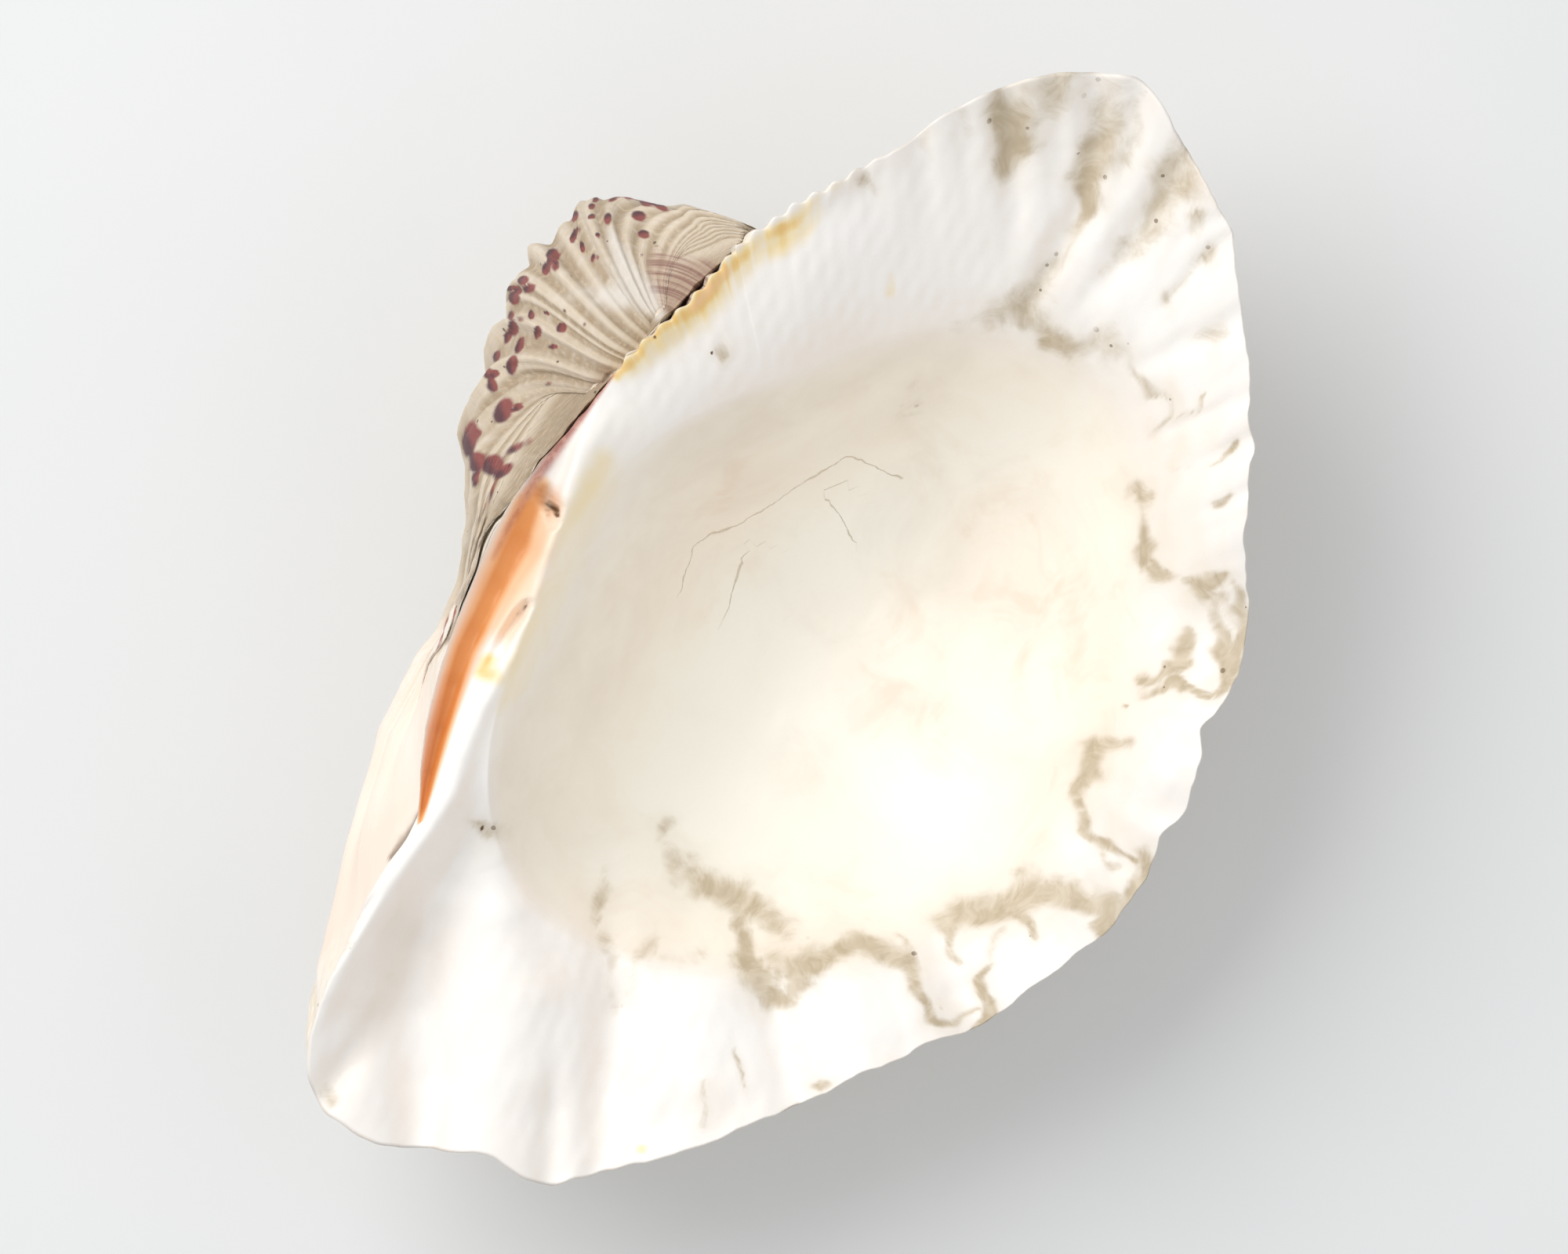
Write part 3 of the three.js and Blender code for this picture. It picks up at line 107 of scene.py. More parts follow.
# marks: paths of [x, y, half width, strength]
STAIN = [
 [[47.9,-25.8,0.9,0.7],[48.2,-27.5,1.01,0.8],[47.0,-28.7,0.67,0.6],[44.9,-29.7,0.56,0.5],[43.3,-31.3,0.67,0.7],[42.3,-33.6,0.9,0.9],[40.2,-33.6,0.9,0.9],[39.4,-35.0,0.9,0.9],[39.9,-36.8,0.67,0.7],[41.4,-39.2,0.56,0.4]],
 [[41.4,-39.9,0.56,0.6],[42.6,-41.8,0.9,0.9],[44.3,-43.3,0.78,1.0],[46.1,-44.4,0.56,0.9]],
 [[42.3,-43.2,1.34,0.9],[41.9,-44.5,0.9,0.8]],
 [[46.0,-46.0,0.67,0.7],[43.9,-48.7,0.67,0.8],[41.5,-51.1,0.78,0.9],[38.4,-52.6,0.9,1.0],[35.5,-53.5,0.9,0.9],[32.7,-53.6,0.67,0.9]],
 [[43.1,-46.0,0.78,0.5],[39.8,-48.2,0.78,0.6],[38.0,-50.3,1.01,0.8],[36.2,-52.6,0.9,0.9]],
 [[36.7,-45.2,0.67,0.7],[34.0,-46.3,0.78,0.9],[31.4,-46.7,0.67,0.9],[29.4,-46.1,0.56,0.8],[27.6,-44.8,0.45,0.8],[26.3,-43.7,0.34,0.6]],
 [[25.6,-45.0,0.56,0.5],[27.3,-46.5,0.45,0.7],[29.7,-48.1,0.45,0.9],[30.7,-50.9,0.45,1.1],[31.3,-53.3,0.34,1.2]],
 [[18.9,-48.3,0.67,0.5],[16.3,-46.1,0.9,0.8],[14.8,-45.6,1.01,0.8],[13.1,-46.6,1.12,0.9],[12.0,-47.9,1.01,0.9],[10.4,-47.8,0.9,0.9],[8.0,-48.3,0.78,0.9],[6.3,-49.8,0.67,0.8],[5.7,-51.7,0.67,0.8],[5.3,-53.8,0.56,0.8],[5.4,-56.6,0.45,0.8],[6.0,-59.0,0.34,0.8],[5.9,-60.2,0.34,0.9]],
 [[4.8,-54.2,0.34,0.5],[3.8,-56.4,0.45,0.5],[2.7,-58.6,0.78,0.5]],
 [[8.0,-61.4,1.01,0.7],[5.8,-62.4,1.23,0.9],[3.4,-62.9,1.23,1.0],[1.1,-63.7,1.01,0.9],[-2.8,-63.4,1.01,0.9],[-4.5,-63.1,0.67,0.9]],
 [[-18.6,-45.2,0.9,0.7],[-17.0,-45.3,1.34,0.8],[-14.4,-46.8,1.57,0.85],[-11.6,-48.9,1.57,0.85],[-8.8,-50.9,1.79,0.9],[-5.6,-52.6,1.9,0.9],[-3.6,-55.3,1.57,0.85],[-2.8,-59.0,1.34,0.9],[-1.9,-61.9,1.01,1.0]],
 [[-18.5,-45.8,0.9,0.7],[-20.5,-48.2,0.56,0.7],[-21.9,-50.4,0.34,0.6]],
 [[-10.1,-51.9,1.34,0.8],[-11.0,-53.4,1.01,0.8],[-11.0,-55.3,0.56,0.8],[-11.6,-57.1,0.45,0.7]],
 [[-14.0,-51.6,0.67,0.5],[-17.5,-52.6,0.56,0.5]],
 [[-18.0,-53.8,0.45,0.8],[-20.7,-54.9,0.67,0.8],[-22.8,-55.9,0.56,0.9],[-24.2,-57.8,0.67,1.0],[-26.3,-58.1,0.67,1.1],[-27.9,-57.7,0.56,1.1]],
 [[-28.1,-49.4,0.56,0.8],[-29.0,-51.9,0.67,0.8],[-28.0,-54.4,0.56,0.7],[-25.3,-55.5,0.34,0.7]],
 [[-33.0,-4.4,0.78,0.5],[-35.4,-5.5,0.67,0.35],[-35.8,-8.5,1.01,0.45],[-35.8,-12.1,1.12,0.6],[-35.3,-15.4,1.34,0.8],[-34.3,-18.2,1.46,0.85],[-34.2,-21.0,1.57,0.8],[-34.1,-24.6,1.57,0.65],[-33.7,-27.8,1.57,0.5]],
 [[-37.4,-21.5,0.67,0.7],[-38.9,-24.2,0.78,0.8],[-40.8,-27.2,1.12,0.85],[-42.2,-29.8,1.34,0.85],[-42.9,-33.3,1.12,0.8],[-42.5,-35.2,0.78,0.7]],
 [[-37.4,-29.5,1.34,0.5],[-39.9,-30.8,1.12,0.6]],
 [[-36.8,-31.9,1.12,0.8],[-34.5,-32.9,1.12,0.85],[-32.1,-35.3,1.01,0.85],[-29.0,-37.8,1.01,0.85],[-26.5,-40.8,1.01,0.85],[-26.0,-43.3,1.01,0.8],[-26.6,-46.0,0.9,0.8],[-27.4,-48.6,0.67,0.8],[-29.2,-51.7,0.67,0.7]],
 [[-37.4,-33.9,1.12,0.7],[-40.3,-34.8,0.9,0.6],[-42.3,-35.0,0.67,0.6]],
 [[-22.5,-40.4,0.28,0.7],[-23.3,-42.1,0.28,0.7],[-24.2,-43.7,0.28,0.6]],
 [[-29.4,-36.0,0.34,0.5],[-27.1,-37.0,0.45,0.5]],
 [[-44.4,-2.6,0.67,0.4],[-46.2,-4.8,0.9,0.6],[-48.9,-5.9,0.56,0.55],[-50.5,-6.6,0.45,0.6],[-50.6,-9.1,0.67,0.5],[-52.5,-12.1,0.78,0.4],[-57.1,-15.3,0.9,0.45],[-58.5,-17.1,0.56,0.35]],
 [[-47.9,-13.2,0.9,0.6],[-50.7,-15.1,0.56,0.35],[-54.5,-16.7,0.56,0.35]],
 [[-48.4,-16.7,1.12,0.35],[-46.6,-19.6,0.9,0.3],[-43.8,-21.7,0.9,0.4]],
 [[50.1,8.0,1.06,0.35],[53.0,5.3,1.28,0.5],[55.2,3.5,1.7,0.6],[57.4,1.7,2.13,0.65],[56.9,-0.2,1.92,0.65],[55.9,-1.7,1.28,0.85],[56.6,-3.4,1.06,0.8],[56.7,-6.2,1.28,0.7],[56.9,-8.2,1.49,0.6],[58.9,-8.0,1.49,0.5],[60.8,-9.3,1.49,0.55],[60.5,-11.7,1.49,0.55],[60.3,-14.1,0.67,0.5],[59.9,-18.0,0.67,0.6],[61.3,-20.5,0.56,0.6],[61.4,-22.3,0.56,0.55],[59.8,-23.9,0.56,0.45],[57.0,-24.1,0.45,0.4],[53.6,-22.6,0.45,0.3]],
 [[69.2,4.2,1.28,0.4],[64.0,3.5,1.49,0.5],[60.0,3.1,1.7,0.6],[57.2,2.9,1.7,0.55],[53.4,4.9,1.06,0.4],[49.9,7.9,0.64,0.3]],
 [[79.2,24.1,1.92,0.5],[76.8,21.4,2.34,0.75],[74.1,19.4,1.92,0.8],[70.8,17.2,1.28,0.75]],
 [[82.4,21.3,1.49,0.5],[83.1,19.3,2.13,0.65],[85.1,18.8,1.28,0.65]],
 [[88.2,15.5,2.13,0.35],[87.9,12.4,2.55,0.4],[84.5,10.3,1.92,0.6],[80.3,8.3,1.7,0.8],[77.2,6.8,1.28,0.85],[73.4,4.4,0.85,0.8],[70.8,4.0,0.85,0.6]],
 [[90.3,8.6,1.06,0.4],[86.7,6.8,1.06,0.4],[83.0,5.1,1.06,0.45]],
 [[88.2,-1.2,1.92,0.5],[84.9,-2.5,2.55,0.6],[80.0,-3.6,2.13,0.65],[76.8,-4.1,1.49,0.55],[72.8,-3.7,1.06,0.45],[68.5,-3.7,1.06,0.4]],
 [[65.9,28.4,1.01,0.4],[64.6,26.4,0.67,0.3]],
 [[72.4,26.7,1.28,0.4],[70.9,25.0,0.85,0.3]],
 [[55.7,32.0,1.01,0.55],[54.9,29.9,0.56,0.4]],
 [[82.7,-8.9,0.74,0.6],[80.8,-9.0,0.85,0.5]],
 [[81.4,-12.3,0.64,0.6],[79.2,-12.5,0.85,0.65]],
 [[77.2,-12.5,0.64,0.3],[74.2,-12.4,0.64,0.35],[70.9,-12.6,0.85,0.5]],
 [[64.4,-26.0,0.22,0.7],[61.8,-25.9,0.22,0.6],[58.1,-24.6,0.22,0.6],[55.5,-23.1,0.22,0.4]],
 [[61.3,-33.2,0.34,0.9],[59.2,-32.4,0.34,0.6],[56.9,-31.4,0.34,0.5]],
 [[53.0,-28.9,0.67,0.4],[54.2,-30.0,0.45,0.35]],
 [[54.5,-36.6,0.34,0.7],[51.8,-35.9,0.45,0.6]],
 [[73.7,-20.2,0.85,0.5],[71.7,-20.2,1.28,0.45],[69.6,-19.8,1.06,0.3]],
 [[34.9,12.9,0.9,0.3],[36.6,11.3,0.67,0.2]],
 [[38.8,8.1,0.9,0.35],[39.7,7.9,0.67,0.35]],
 [[37.7,5.0,0.9,0.3],[35.8,5.6,1.34,0.35],[34.2,6.5,0.67,0.4]],
 [[27.7,17.1,1.12,0.22],[28.8,15.1,1.12,0.22]],
 [[-49.7,15.3,0.67,0.6],[-49.0,12.5,1.46,0.5],[-49.4,11.2,1.12,0.4]],
 [[-46.6,-46.7,0.67,0.7],[-47.9,-46.3,0.56,0.7]],
 [[-51.5,-45.2,0.45,0.5],[-52.6,-44.7,0.45,0.5]],
 [[-68.0,20.8,0.54,0.23],[-71.7,19.9,0.54,0.35],[-74.9,19.4,0.72,0.4],[-78.2,18.9,0.72,0.35]],
 [[-93.6,6.9,1.01,0.6],[-93.3,8.0,0.78,0.4]],
 [[-51.2,-32.6,0.28,0.5],[-53.2,-35.5,0.28,0.7],[-55.0,-37.5,0.34,0.55]],
 [[-58.1,-33.1,0.22,0.5],[-60.0,-35.5,0.34,0.5],[-61.6,-37.1,0.45,0.45]],
 [[22.8,-44.6,0.34,0.7],[22.5,-45.2,0.34,0.5]],
 [[63.3,-20.3,0.22,0.3],[64.2,-21.0,0.22,0.3]],
 [[71.0,-27.8,0.22,0.0],[69.7,-28.1,0.22,0.0]],
 [[23.7,33.4,0.45,0.6],[23.7,32.4,0.56,0.7]]]
PEACH = [
 [[-15.1,37.6,4.48,0.75],[-21.5,35.7,4.7,0.8],[-29.1,33.5,3.81,0.6],[-35.7,30.8,2.91,0.4]],
 [[-55.9,6.1,4.48,0.2],[-49.0,3.0,6.72,0.3]],
 [[24.8,-40.5,2.69,0.3],[20.2,-42.9,3.36,0.5],[19.1,-46.0,2.69,0.4]],
 [[16.7,8.0,6.72,0.25],[30.0,5.9,6.72,0.3]],
 [[39.2,10.6,4.48,0.3],[29.3,15.5,4.48,0.3]],
 [[-41.9,-5.6,3.36,0.35],[-43.5,-14.2,3.81,0.35],[-40.8,-19.2,3.81,0.3]],
 [[-19.5,-37.9,5.6,0.3],[-12.5,-39.4,5.6,0.25]],
 [[70.3,2.9,3.36,0.35],[59.8,1.5,2.91,0.35],[72.0,-4.4,2.91,0.3]],
 [[-20.9,-2.8,6.72,0.3],[-18.6,4.9,6.72,0.35],[-29.5,7.6,5.6,0.2]],
 [[2.1,-53.5,4.48,0.2],[5.4,-43.5,5.6,0.2]],
 [[-74.9,-18.4,1.34,0.3],[-80.4,-24.1,1.57,0.4]]]
YELLOW = [
 [[12.4,41.5,1.01,0.9],[14.5,41.1,1.12,0.95],[17.7,40.5,1.23,0.8],[21.3,40.1,1.34,0.85],[23.8,39.4,1.34,0.9],[26.7,38.8,1.57,1.0],[29.9,38.5,1.68,1.0],[33.5,38.6,1.68,1.0],[36.8,38.0,1.46,0.9],[39.6,37.9,1.23,0.6],[42.1,37.0,1.12,0.8],[45.2,35.9,1.34,0.85],[48.6,35.1,1.12,0.6],[51.4,34.5,0.78,0.5],[55.8,33.1,0.56,0.3]],
 [[14.2,40.8,2.24,0.6],[22.4,38.9,2.69,0.65],[31.0,38.0,2.91,0.75],[37.3,36.6,2.46,0.6],[43.9,34.8,2.24,0.65],[48.5,33.6,1.68,0.5]],
 [[1.2,33.7,3.36,0.4],[-6.1,32.0,3.36,0.42],[-14.3,29.6,2.91,0.42],[-22.1,26.8,2.46,0.4],[-30.0,23.9,2.02,0.4]],
 [[1.7,34.8,2.46,0.55],[-2.3,34.1,2.46,0.6],[-6.9,32.9,2.24,0.55],[-11.8,31.8,1.9,0.48],[-15.8,30.5,1.46,0.42],[-19.7,29.1,1.23,0.5],[-24.0,27.6,1.23,0.55],[-28.8,25.6,1.46,0.55],[-33.5,23.9,1.34,0.5],[-37.3,22.3,1.01,0.3]],
 [[-30.7,29.1,1.34,0.9],[-32.3,28.8,1.34,0.9],[-31.6,26.2,1.34,0.6]],
 [[-14.1,32.0,1.12,0.35],[-17.4,30.7,0.9,0.35]],
 [[-71.0,-31.9,0.78,0.8]],
 [[-54.7,23.1,0.67,0.3],[-60.7,22.4,0.9,0.25],[-67.2,21.5,0.67,0.25]],
 [[48.6,20.6,0.67,0.35],[46.0,18.9,1.12,0.5]],
 [[37.0,4.5,1.34,0.2],[34.4,13.2,1.12,0.2]],
 [[37.2,-52.0,0.9,0.25],[40.0,-48.3,0.9,0.2]]]
ORANGE = [
 [[-6.3,39.6,1.34,0.5],[-10.0,38.8,2.02,0.85],[-15.3,36.9,2.13,0.95],[-19.5,35.9,1.9,0.95],[-23.4,35.0,1.79,0.95],[-28.0,33.8,1.57,1.0],[-31.5,33.0,1.46,1.0],[-35.5,31.4,1.34,1.0],[-38.9,29.9,1.29,1.0],[-42.3,28.3,1.18,1.0],[-45.9,26.6,1.01,1.0],[-49.6,24.8,0.78,1.0],[-52.8,23.2,0.45,1.0],[-54.5,22.3,0.28,0.9]],
 [[-7.9,36.8,2.91,0.35],[-14.2,34.8,3.81,0.4],[-20.0,32.9,3.81,0.4],[-25.7,31.1,3.14,0.35]],
 [[30.2,38.8,1.12,0.35],[26.7,38.8,0.9,0.3],[34.0,38.3,1.01,0.3]]]
RED = [
 [[12.3,41.7,0.34,0.8],[9.9,41.6,0.45,0.9],[7.2,41.6,0.67,0.8],[4.0,41.4,0.9,0.72],[0.4,41.3,1.01,0.72],[-3.1,41.0,1.12,0.68],[-6.3,40.7,1.01,0.62],[-10.2,40.1,0.78,0.55],[-14.3,39.3,0.67,0.5],[-18.8,38.2,0.56,0.4]],
 [[-2.0,42.0,0.9,0.35],[-4.9,41.0,0.9,0.35]]]
PITS = [
 [[-7.8,37.2,0.56,0.8],[-7.8,35.8,0.67,1.0],[-8.3,35.0,0.45,1.0]],
 [[-21.0,30.3,0.34,0.8],[-22.0,30.1,0.34,0.6]],
 [[-49.7,14.9,0.25,1.3]],
 [[-48.6,12.4,0.18,1.0]],
 [[-50.1,11.5,0.2,1.0]],
 [[23.5,32.8,0.22,1.2]],
 [[31.6,-53.1,0.28,0.6],[31.0,-51.4,0.28,0.6]],
 [[78.2,7.7,0.22,1.0]],
 [[20.0,40.4,0.28,1.0]]]
LIPW = [
 [[6.4,34.4,3.81,0.7],[1.6,33.9,3.81,0.9],[-4.5,32.6,3.81,0.95],[-10.6,31.2,3.36,0.95],[-16.5,29.6,3.02,0.95],[-22.3,27.8,2.69,0.9],[-28.4,25.6,2.24,0.85],[-35.1,23.0,2.02,0.7],[-40.6,20.9,1.57,0.5]],
 [[2.3,39.4,2.46,0.8],[-2.7,38.4,1.12,0.4]]]
# painted shade: grey-beige strokes under the brink of the bowl on the hinge side and along the shaded channel at the
# back end, where shade falls
SHADE_STROKES = [
 [[-4.2,31.4,3.36,0.45],[2.1,30.8,3.14,0.5],[8.6,27.4,2.91,0.5],[14.6,23.7,2.91,0.5],[21.0,20.3,2.69,0.5],[28.3,17.6,2.46,0.45],[36.3,14.1,2.24,0.4],[44.6,9.3,1.79,0.3]],
 [[1.4,22.9,5.6,0.3],[-7.7,19.8,5.6,0.32],[-22.3,16.4,4.93,0.3],[-33.8,12.7,4.48,0.3]],
 [[6.7,20.1,3.36,0.25],[18.1,15.0,2.91,0.22],[34.9,7.0,2.69,0.25],[47.5,5.9,2.02,0.3]],
 [[-67.9,13.6,2.91,0.6],[-74.5,11.0,3.36,0.7],[-82.7,8.6,3.36,0.7],[-90.0,6.9,2.69,0.6]],
 [[-63.3,11.6,1.79,0.4],[-72.2,6.4,1.57,0.35]]]
CRACKS = [
 [[-5.11,14.96],[-2.78,16.01],[0.61,17.36],[3.34,16.87],[5.22,15.66],[7.11,14.6],[11.33,13.01],[14.67,12.14],[19.68,10.47],[24.7,8.8],[25.69,6.72],[26.44,3.71],[27.24,1.16]],
 [[3.15,10.6],[0.44,9.66],[-2.31,8.41]],
 [[18.09,6.24],[17.65,4.14],[15.92,0.09]]]
WORN = [
 [[27.9,55.4,0.73,0.7],[26.5,53.2,1.12,0.9],[25.3,50.7,1.57,1.0],[24.0,47.8,2.13,1.0],[23.4,45.1,1.85,1.0],[22.9,42.2,0.95,0.9]],
 [[21.6,47.7,1.96,0.9],[19.9,50.2,1.68,0.7],[18.7,52.5,1.12,0.5]],
 [[13.1,57.0,0.67,0.2],[17.0,53.3,1.12,0.35]]]
STRIPE = [
 [[28.7,47.0,1.54,0.7],[28.7,44.4,2.1,1.0],[29.4,41.8,2.38,1.0],[31.3,40.8,1.96,0.8]],
 [[26.2,43.9,1.68,1.0],[26.0,41.5,1.54,1.0]],
 [[27.1,46.8,0.95,0.6],[27.5,44.9,1.4,0.9],[28.0,42.4,1.68,1.0],[28.9,39.9,1.4,1.0]],
 [[25.6,41.9,1.4,0.9],[24.9,40.2,0.84,0.8]],
 [[29.6,41.6,1.4,0.6]]]
DIRT = [
 [[11.6,42.3,0.39,0.9],[10.5,42.2,0.28,0.7],[12.2,42.1,0.28,0.8]],
 [[24.5,40.6,0.45,0.8],[24.6,41.8,0.34,0.6]]]
# purple spots of the umbo: x, y, direction x, direction y, long half axis, short half axis, strength
SPOT = [
 [33.75,56.63,0.762,-0.648,0.95,0.5,1], [32.55,58.18,0.637,-0.771,0.45,0.45,0.9], [29.06,59.84,-0.007,-1.0,0.45,0.39,0.9], [30.06,60.04,0.637,-0.771,0.34,0.34,0.9], [26.2,60.49,0.416,-0.909,0.5,0.73,0.9],
 [19.89,59.77,0.937,-0.349,0.84,0.56,1], [14.7,60.42,0.964,-0.266,0.73,0.5,1], [12.87,60.0,0.637,-0.771,0.5,0.67,1], [9.06,58.45,0.637,-0.771,0.56,0.73,0.7], [6.59,57.05,0.494,-0.869,0.5,0.84,0.9],
 [3.84,56.41,0.335,-0.942,0.56,0.73,0.9], [1.13,55.74,0.335,-0.942,0.45,0.73,0.8], [34.27,54.33,0.08,-0.997,0.98,0.56,1], [35.05,52.07,0.167,-0.986,1.54,0.39,1], [32.27,53.59,0.335,-0.942,0.95,0.62,1],
 [30.65,51.16,0.167,-0.986,0.78,0.62,1], [29.06,56.68,0.637,-0.771,0.5,0.73,0.9], [31.45,58.18,0.863,-0.506,0.56,0.28,0.8], [27.86,58.66,0.762,-0.648,0.56,0.34,1], [23.36,56.76,0.568,-0.823,0.34,0.73,1],
 [23.84,58.6,0.335,-0.942,0.39,0.78,1], [26.17,55.99,0.637,-0.771,0.34,0.34,0.9], [23.25,54.48,0.863,-0.506,0.62,0.34,0.9], [24.86,58.9,0.937,-0.349,0.56,0.28,0.9], [19.12,59.25,0.964,-0.266,1.34,0.45,1],
 [17.92,59.16,0.494,-0.869,0.5,0.84,1], [18.95,58.27,0.494,-0.869,0.5,0.62,0.8], [12.62,60.95,0.863,-0.506,0.7,0.28,1], [11.55,59.7,0.637,-0.771,0.76,0.95,0.9], [14.23,59.01,0.937,-0.349,0.9,0.56,0.9],
 [11.24,56.25,0.637,-0.771,0.39,0.67,1], [12.91,54.94,0.637,-0.771,0.39,0.34,0.9], [14.79,52.75,0.637,-0.771,0.28,0.28,0.8], [9.76,56.95,0.637,-0.771,0.62,0.45,0.5], [7.98,57.12,0.637,-0.771,0.73,0.95,0.9],
 [9.77,53.87,0.637,-0.771,0.5,0.78,1], [12.48,51.82,0.863,-0.506,0.73,0.56,1], [15.05,49.23,0.637,-0.771,0.42,0.34,0.55], [6.95,54.63,0.494,-0.869,0.5,1.06,1], [9.86,50.68,0.637,-0.771,0.62,0.34,0.8],
 [4.17,53.6,0.335,-0.942,0.73,1.18,1], [1.61,54.94,0.937,-0.349,0.56,0.56,1], [0.16,54.28,0.762,-0.648,0.56,1.01,1], [5.35,48.22,0.937,-0.349,0.62,0.34,0.5], [-1.66,50.77,0.252,-0.968,1.12,1.62,1],
 [0.03,49.38,0.637,-0.771,0.62,0.5,0.9], [-6.39,51.22,0.637,-0.771,0.5,0.45,0.8], [-7.77,52.0,0.494,-0.869,1.06,2.24,1.0], [-4.53,45.67,0.984,-0.181,1.68,0.62,0.6], [-8.72,46.57,0.637,-0.771,1.54,1.26,1],
 [-9.9,48.86,0.637,-0.771,1.12,1.4,1], [-8.3,44.74,0.984,-0.181,1.54,0.62,0.9], [-2.71,45.0,0.984,-0.181,0.98,0.56,0.45], [-11.84,47.26,0.637,-0.771,0.62,1.01,0.8], [-13.97,44.12,0.335,-0.942,0.22,1.68,0.5],
 [-11.53,44.25,0.167,-0.986,0.28,1.68,0.6], [20.42,56.14,0.637,-0.771,0.22,0.14,0.6], [19.34,55.25,0.637,-0.771,0.17,0.17,0.6], [20.16,54.47,0.637,-0.771,0.17,0.17,0.6], [30.15,48.56,0.637,-0.771,0.39,0.34,0.4],
 [27.91,49.51,0.637,-0.771,0.28,0.34,0.5], [30.56,55.08,0.637,-0.771,0.34,0.28,0.3]]


# ------------------------------------------------------------------ helpers
def cyc(tab, x):
    t = np.asarray(tab, float); n = len(t); x = np.asarray(x, float) % n; i = np.floor(x).astype(int); f = x - i
    a, b, c, d = t[(i - 1) % n], t[i % n], t[(i + 1) % n], t[(i + 2) % n]
    return b + 0.5 * f * (c - a + f * (2 * a - 5 * b + 4 * c - d + f * (3 * (b - c) + d - a)))


def sstep(a, b, x):
    t = np.clip((np.asarray(x, float) - a) / (b - a), 0, 1)
    return t * t * (3 - 2 * t)


def blur(v, sig):
    r = int(3 * sig) + 1; k = np.exp(-0.5 * (np.arange(-r, r + 1) / sig) ** 2); k /= k.sum()
    out = np.zeros_like(v)
    for j, w in zip(range(-r, r + 1), k):
        out += w * np.roll(v, j, axis=0)
    return out


def waves(seed, lengths, amps, per=5):
    """A smooth bumpy field over 3-D points (mm), made of sine waves."""
    g = np.random.RandomState(seed); W = []
    for L, A in zip(lengths, amps):
        for _ in range(per):
            d = g.normal(size=3); d /= np.linalg.norm(d)
            W.append((d * 2 * np.pi / (L * g.uniform(0.75, 1.3)), g.uniform(0, 6.28), A / math.sqrt(per)))

    def f(P):
        z = np.zeros(P.shape[:-1])
        for k, p, a in W:
            z += a * np.sin(P @ k + p)
        return z
    return f


def loop(P, n):
    P = np.array(P, float); Q = np.vstack([P, P[:1]]); d = np.r_[0, np.cumsum(np.hypot(*np.diff(Q, axis=0).T))]
    t = np.arange(n) * d[-1] / n
    return np.stack([np.interp(t, d, Q[:, 0]), np.interp(t, d, Q[:, 1])], -1), d[-1]


def relief(x, y):
    x = np.asarray(x, float); y = np.asarray(y, float); z = np.zeros_like(x)
    for p, v in FEAT:
        x0 = min(q[0] - 4 * q[2] for q in v); x1 = max(q[0] + 4 * q[2] for q in v)
        y0 = min(q[1] - 4 * q[2] for q in v); y1 = max(q[1] + 4 * q[2] for q in v)
        m = (x > x0) & (x < x1) & (y > y0) & (y < y1)
        if not m.any():
            continue
        xs, ys = x[m], y[m]; acc = np.zeros_like(xs); sg = 1.0 if max(q[3] for q in v) > 0 else -1.0
        for a, c in zip(v[:-1], v[1:]):
            ex, ey = c[0] - a[0], c[1] - a[1]; t = np.clip(((xs - a[0]) * ex + (ys - a[1]) * ey) / (ex * ex + ey * ey), 0, 1)
            d = np.hypot(xs - a[0] - t * ex, ys - a[1] - t * ey) / (a[2] + t * (c[2] - a[2])); q = abs(a[3] + t * (c[3] - a[3]))
            acc += (q * np.exp(-d ** p)) ** 10
        z[m] += sg * acc ** 0.1
    return z


def marks(paths, x, y, soft=1.0):
    """Strength of the nearest mark at each point: 1 at its middle line, half at its half width."""
    out = np.zeros_like(x)
    for v in paths:
        if len(v) == 1:
            v = [v[0], [v[0][0] + 0.05, v[0][1] + 0.05, v[0][2], v[0][3]]]
        r = 3.2 * max(q[2] for q in v)
        m = (x > min(q[0] for q in v) - r) & (x < max(q[0] for q in v) + r) & (y > min(q[1] for q in v) - r) & (y < max(q[1] for q in v) + r)
        if not m.any():
            continue
        xs, ys = x[m], y[m]; best = np.zeros_like(xs)
        for a, c in zip(v[:-1], v[1:]):
            ex, ey = c[0] - a[0], c[1] - a[1]; t = np.clip(((xs - a[0]) * ex + (ys - a[1]) * ey) / (ex * ex + ey * ey + 1e-9), 0, 1)
            d = np.hypot(xs - a[0] - t * ex, ys - a[1] - t * ey) / (a[2] + t * (c[2] - a[2]))
            best = np.maximum(best, (a[3] + t * (c[3] - a[3])) * np.exp2(-(d / soft) ** 2))
        out[m] = np.maximum(out[m], best)
    return out


def zlip(x, y):
    return -0.20 * (41.0 - y) + 0.065 * x


# ------------------------------------------------------------------ the shell edge
M_, LEN = loop(MARGIN, NM); DS = LEN / NM
MXY = blur(M_, 0.9 / DS); M0 = blur(M_, 5.0 / DS); MS = np.arange(NM) * DS
cw = sstep(9, 16, MXY[:, 0]) * (1 - sstep(52, 66, MXY[:, 0])) * (MXY[:, 1] > 20)
cwv = np.cos(2 * np.pi * MS / 3.35)
nrm = np.stack([np.roll(MXY[:, 1], 1) - np.roll(MXY[:, 1], -1), np.roll(MXY[:, 0], -1) - np.roll(MXY[:, 0], 1)], -1)
nrm /= np.hypot(nrm[:, 0], nrm[:, 1])[:, None]; nrm *= np.sign(((MXY - CEN) * nrm).sum(1).mean())
rough = waves(11, [2.6, 5.0, 9.0], [0.07, 0.10, 0.12])(np.concatenate([MXY, np.zeros((NM, 1))], 1))
keep_smooth = sstep(-20, 5, -MXY[:, 1]) * 0.75 + 0.25
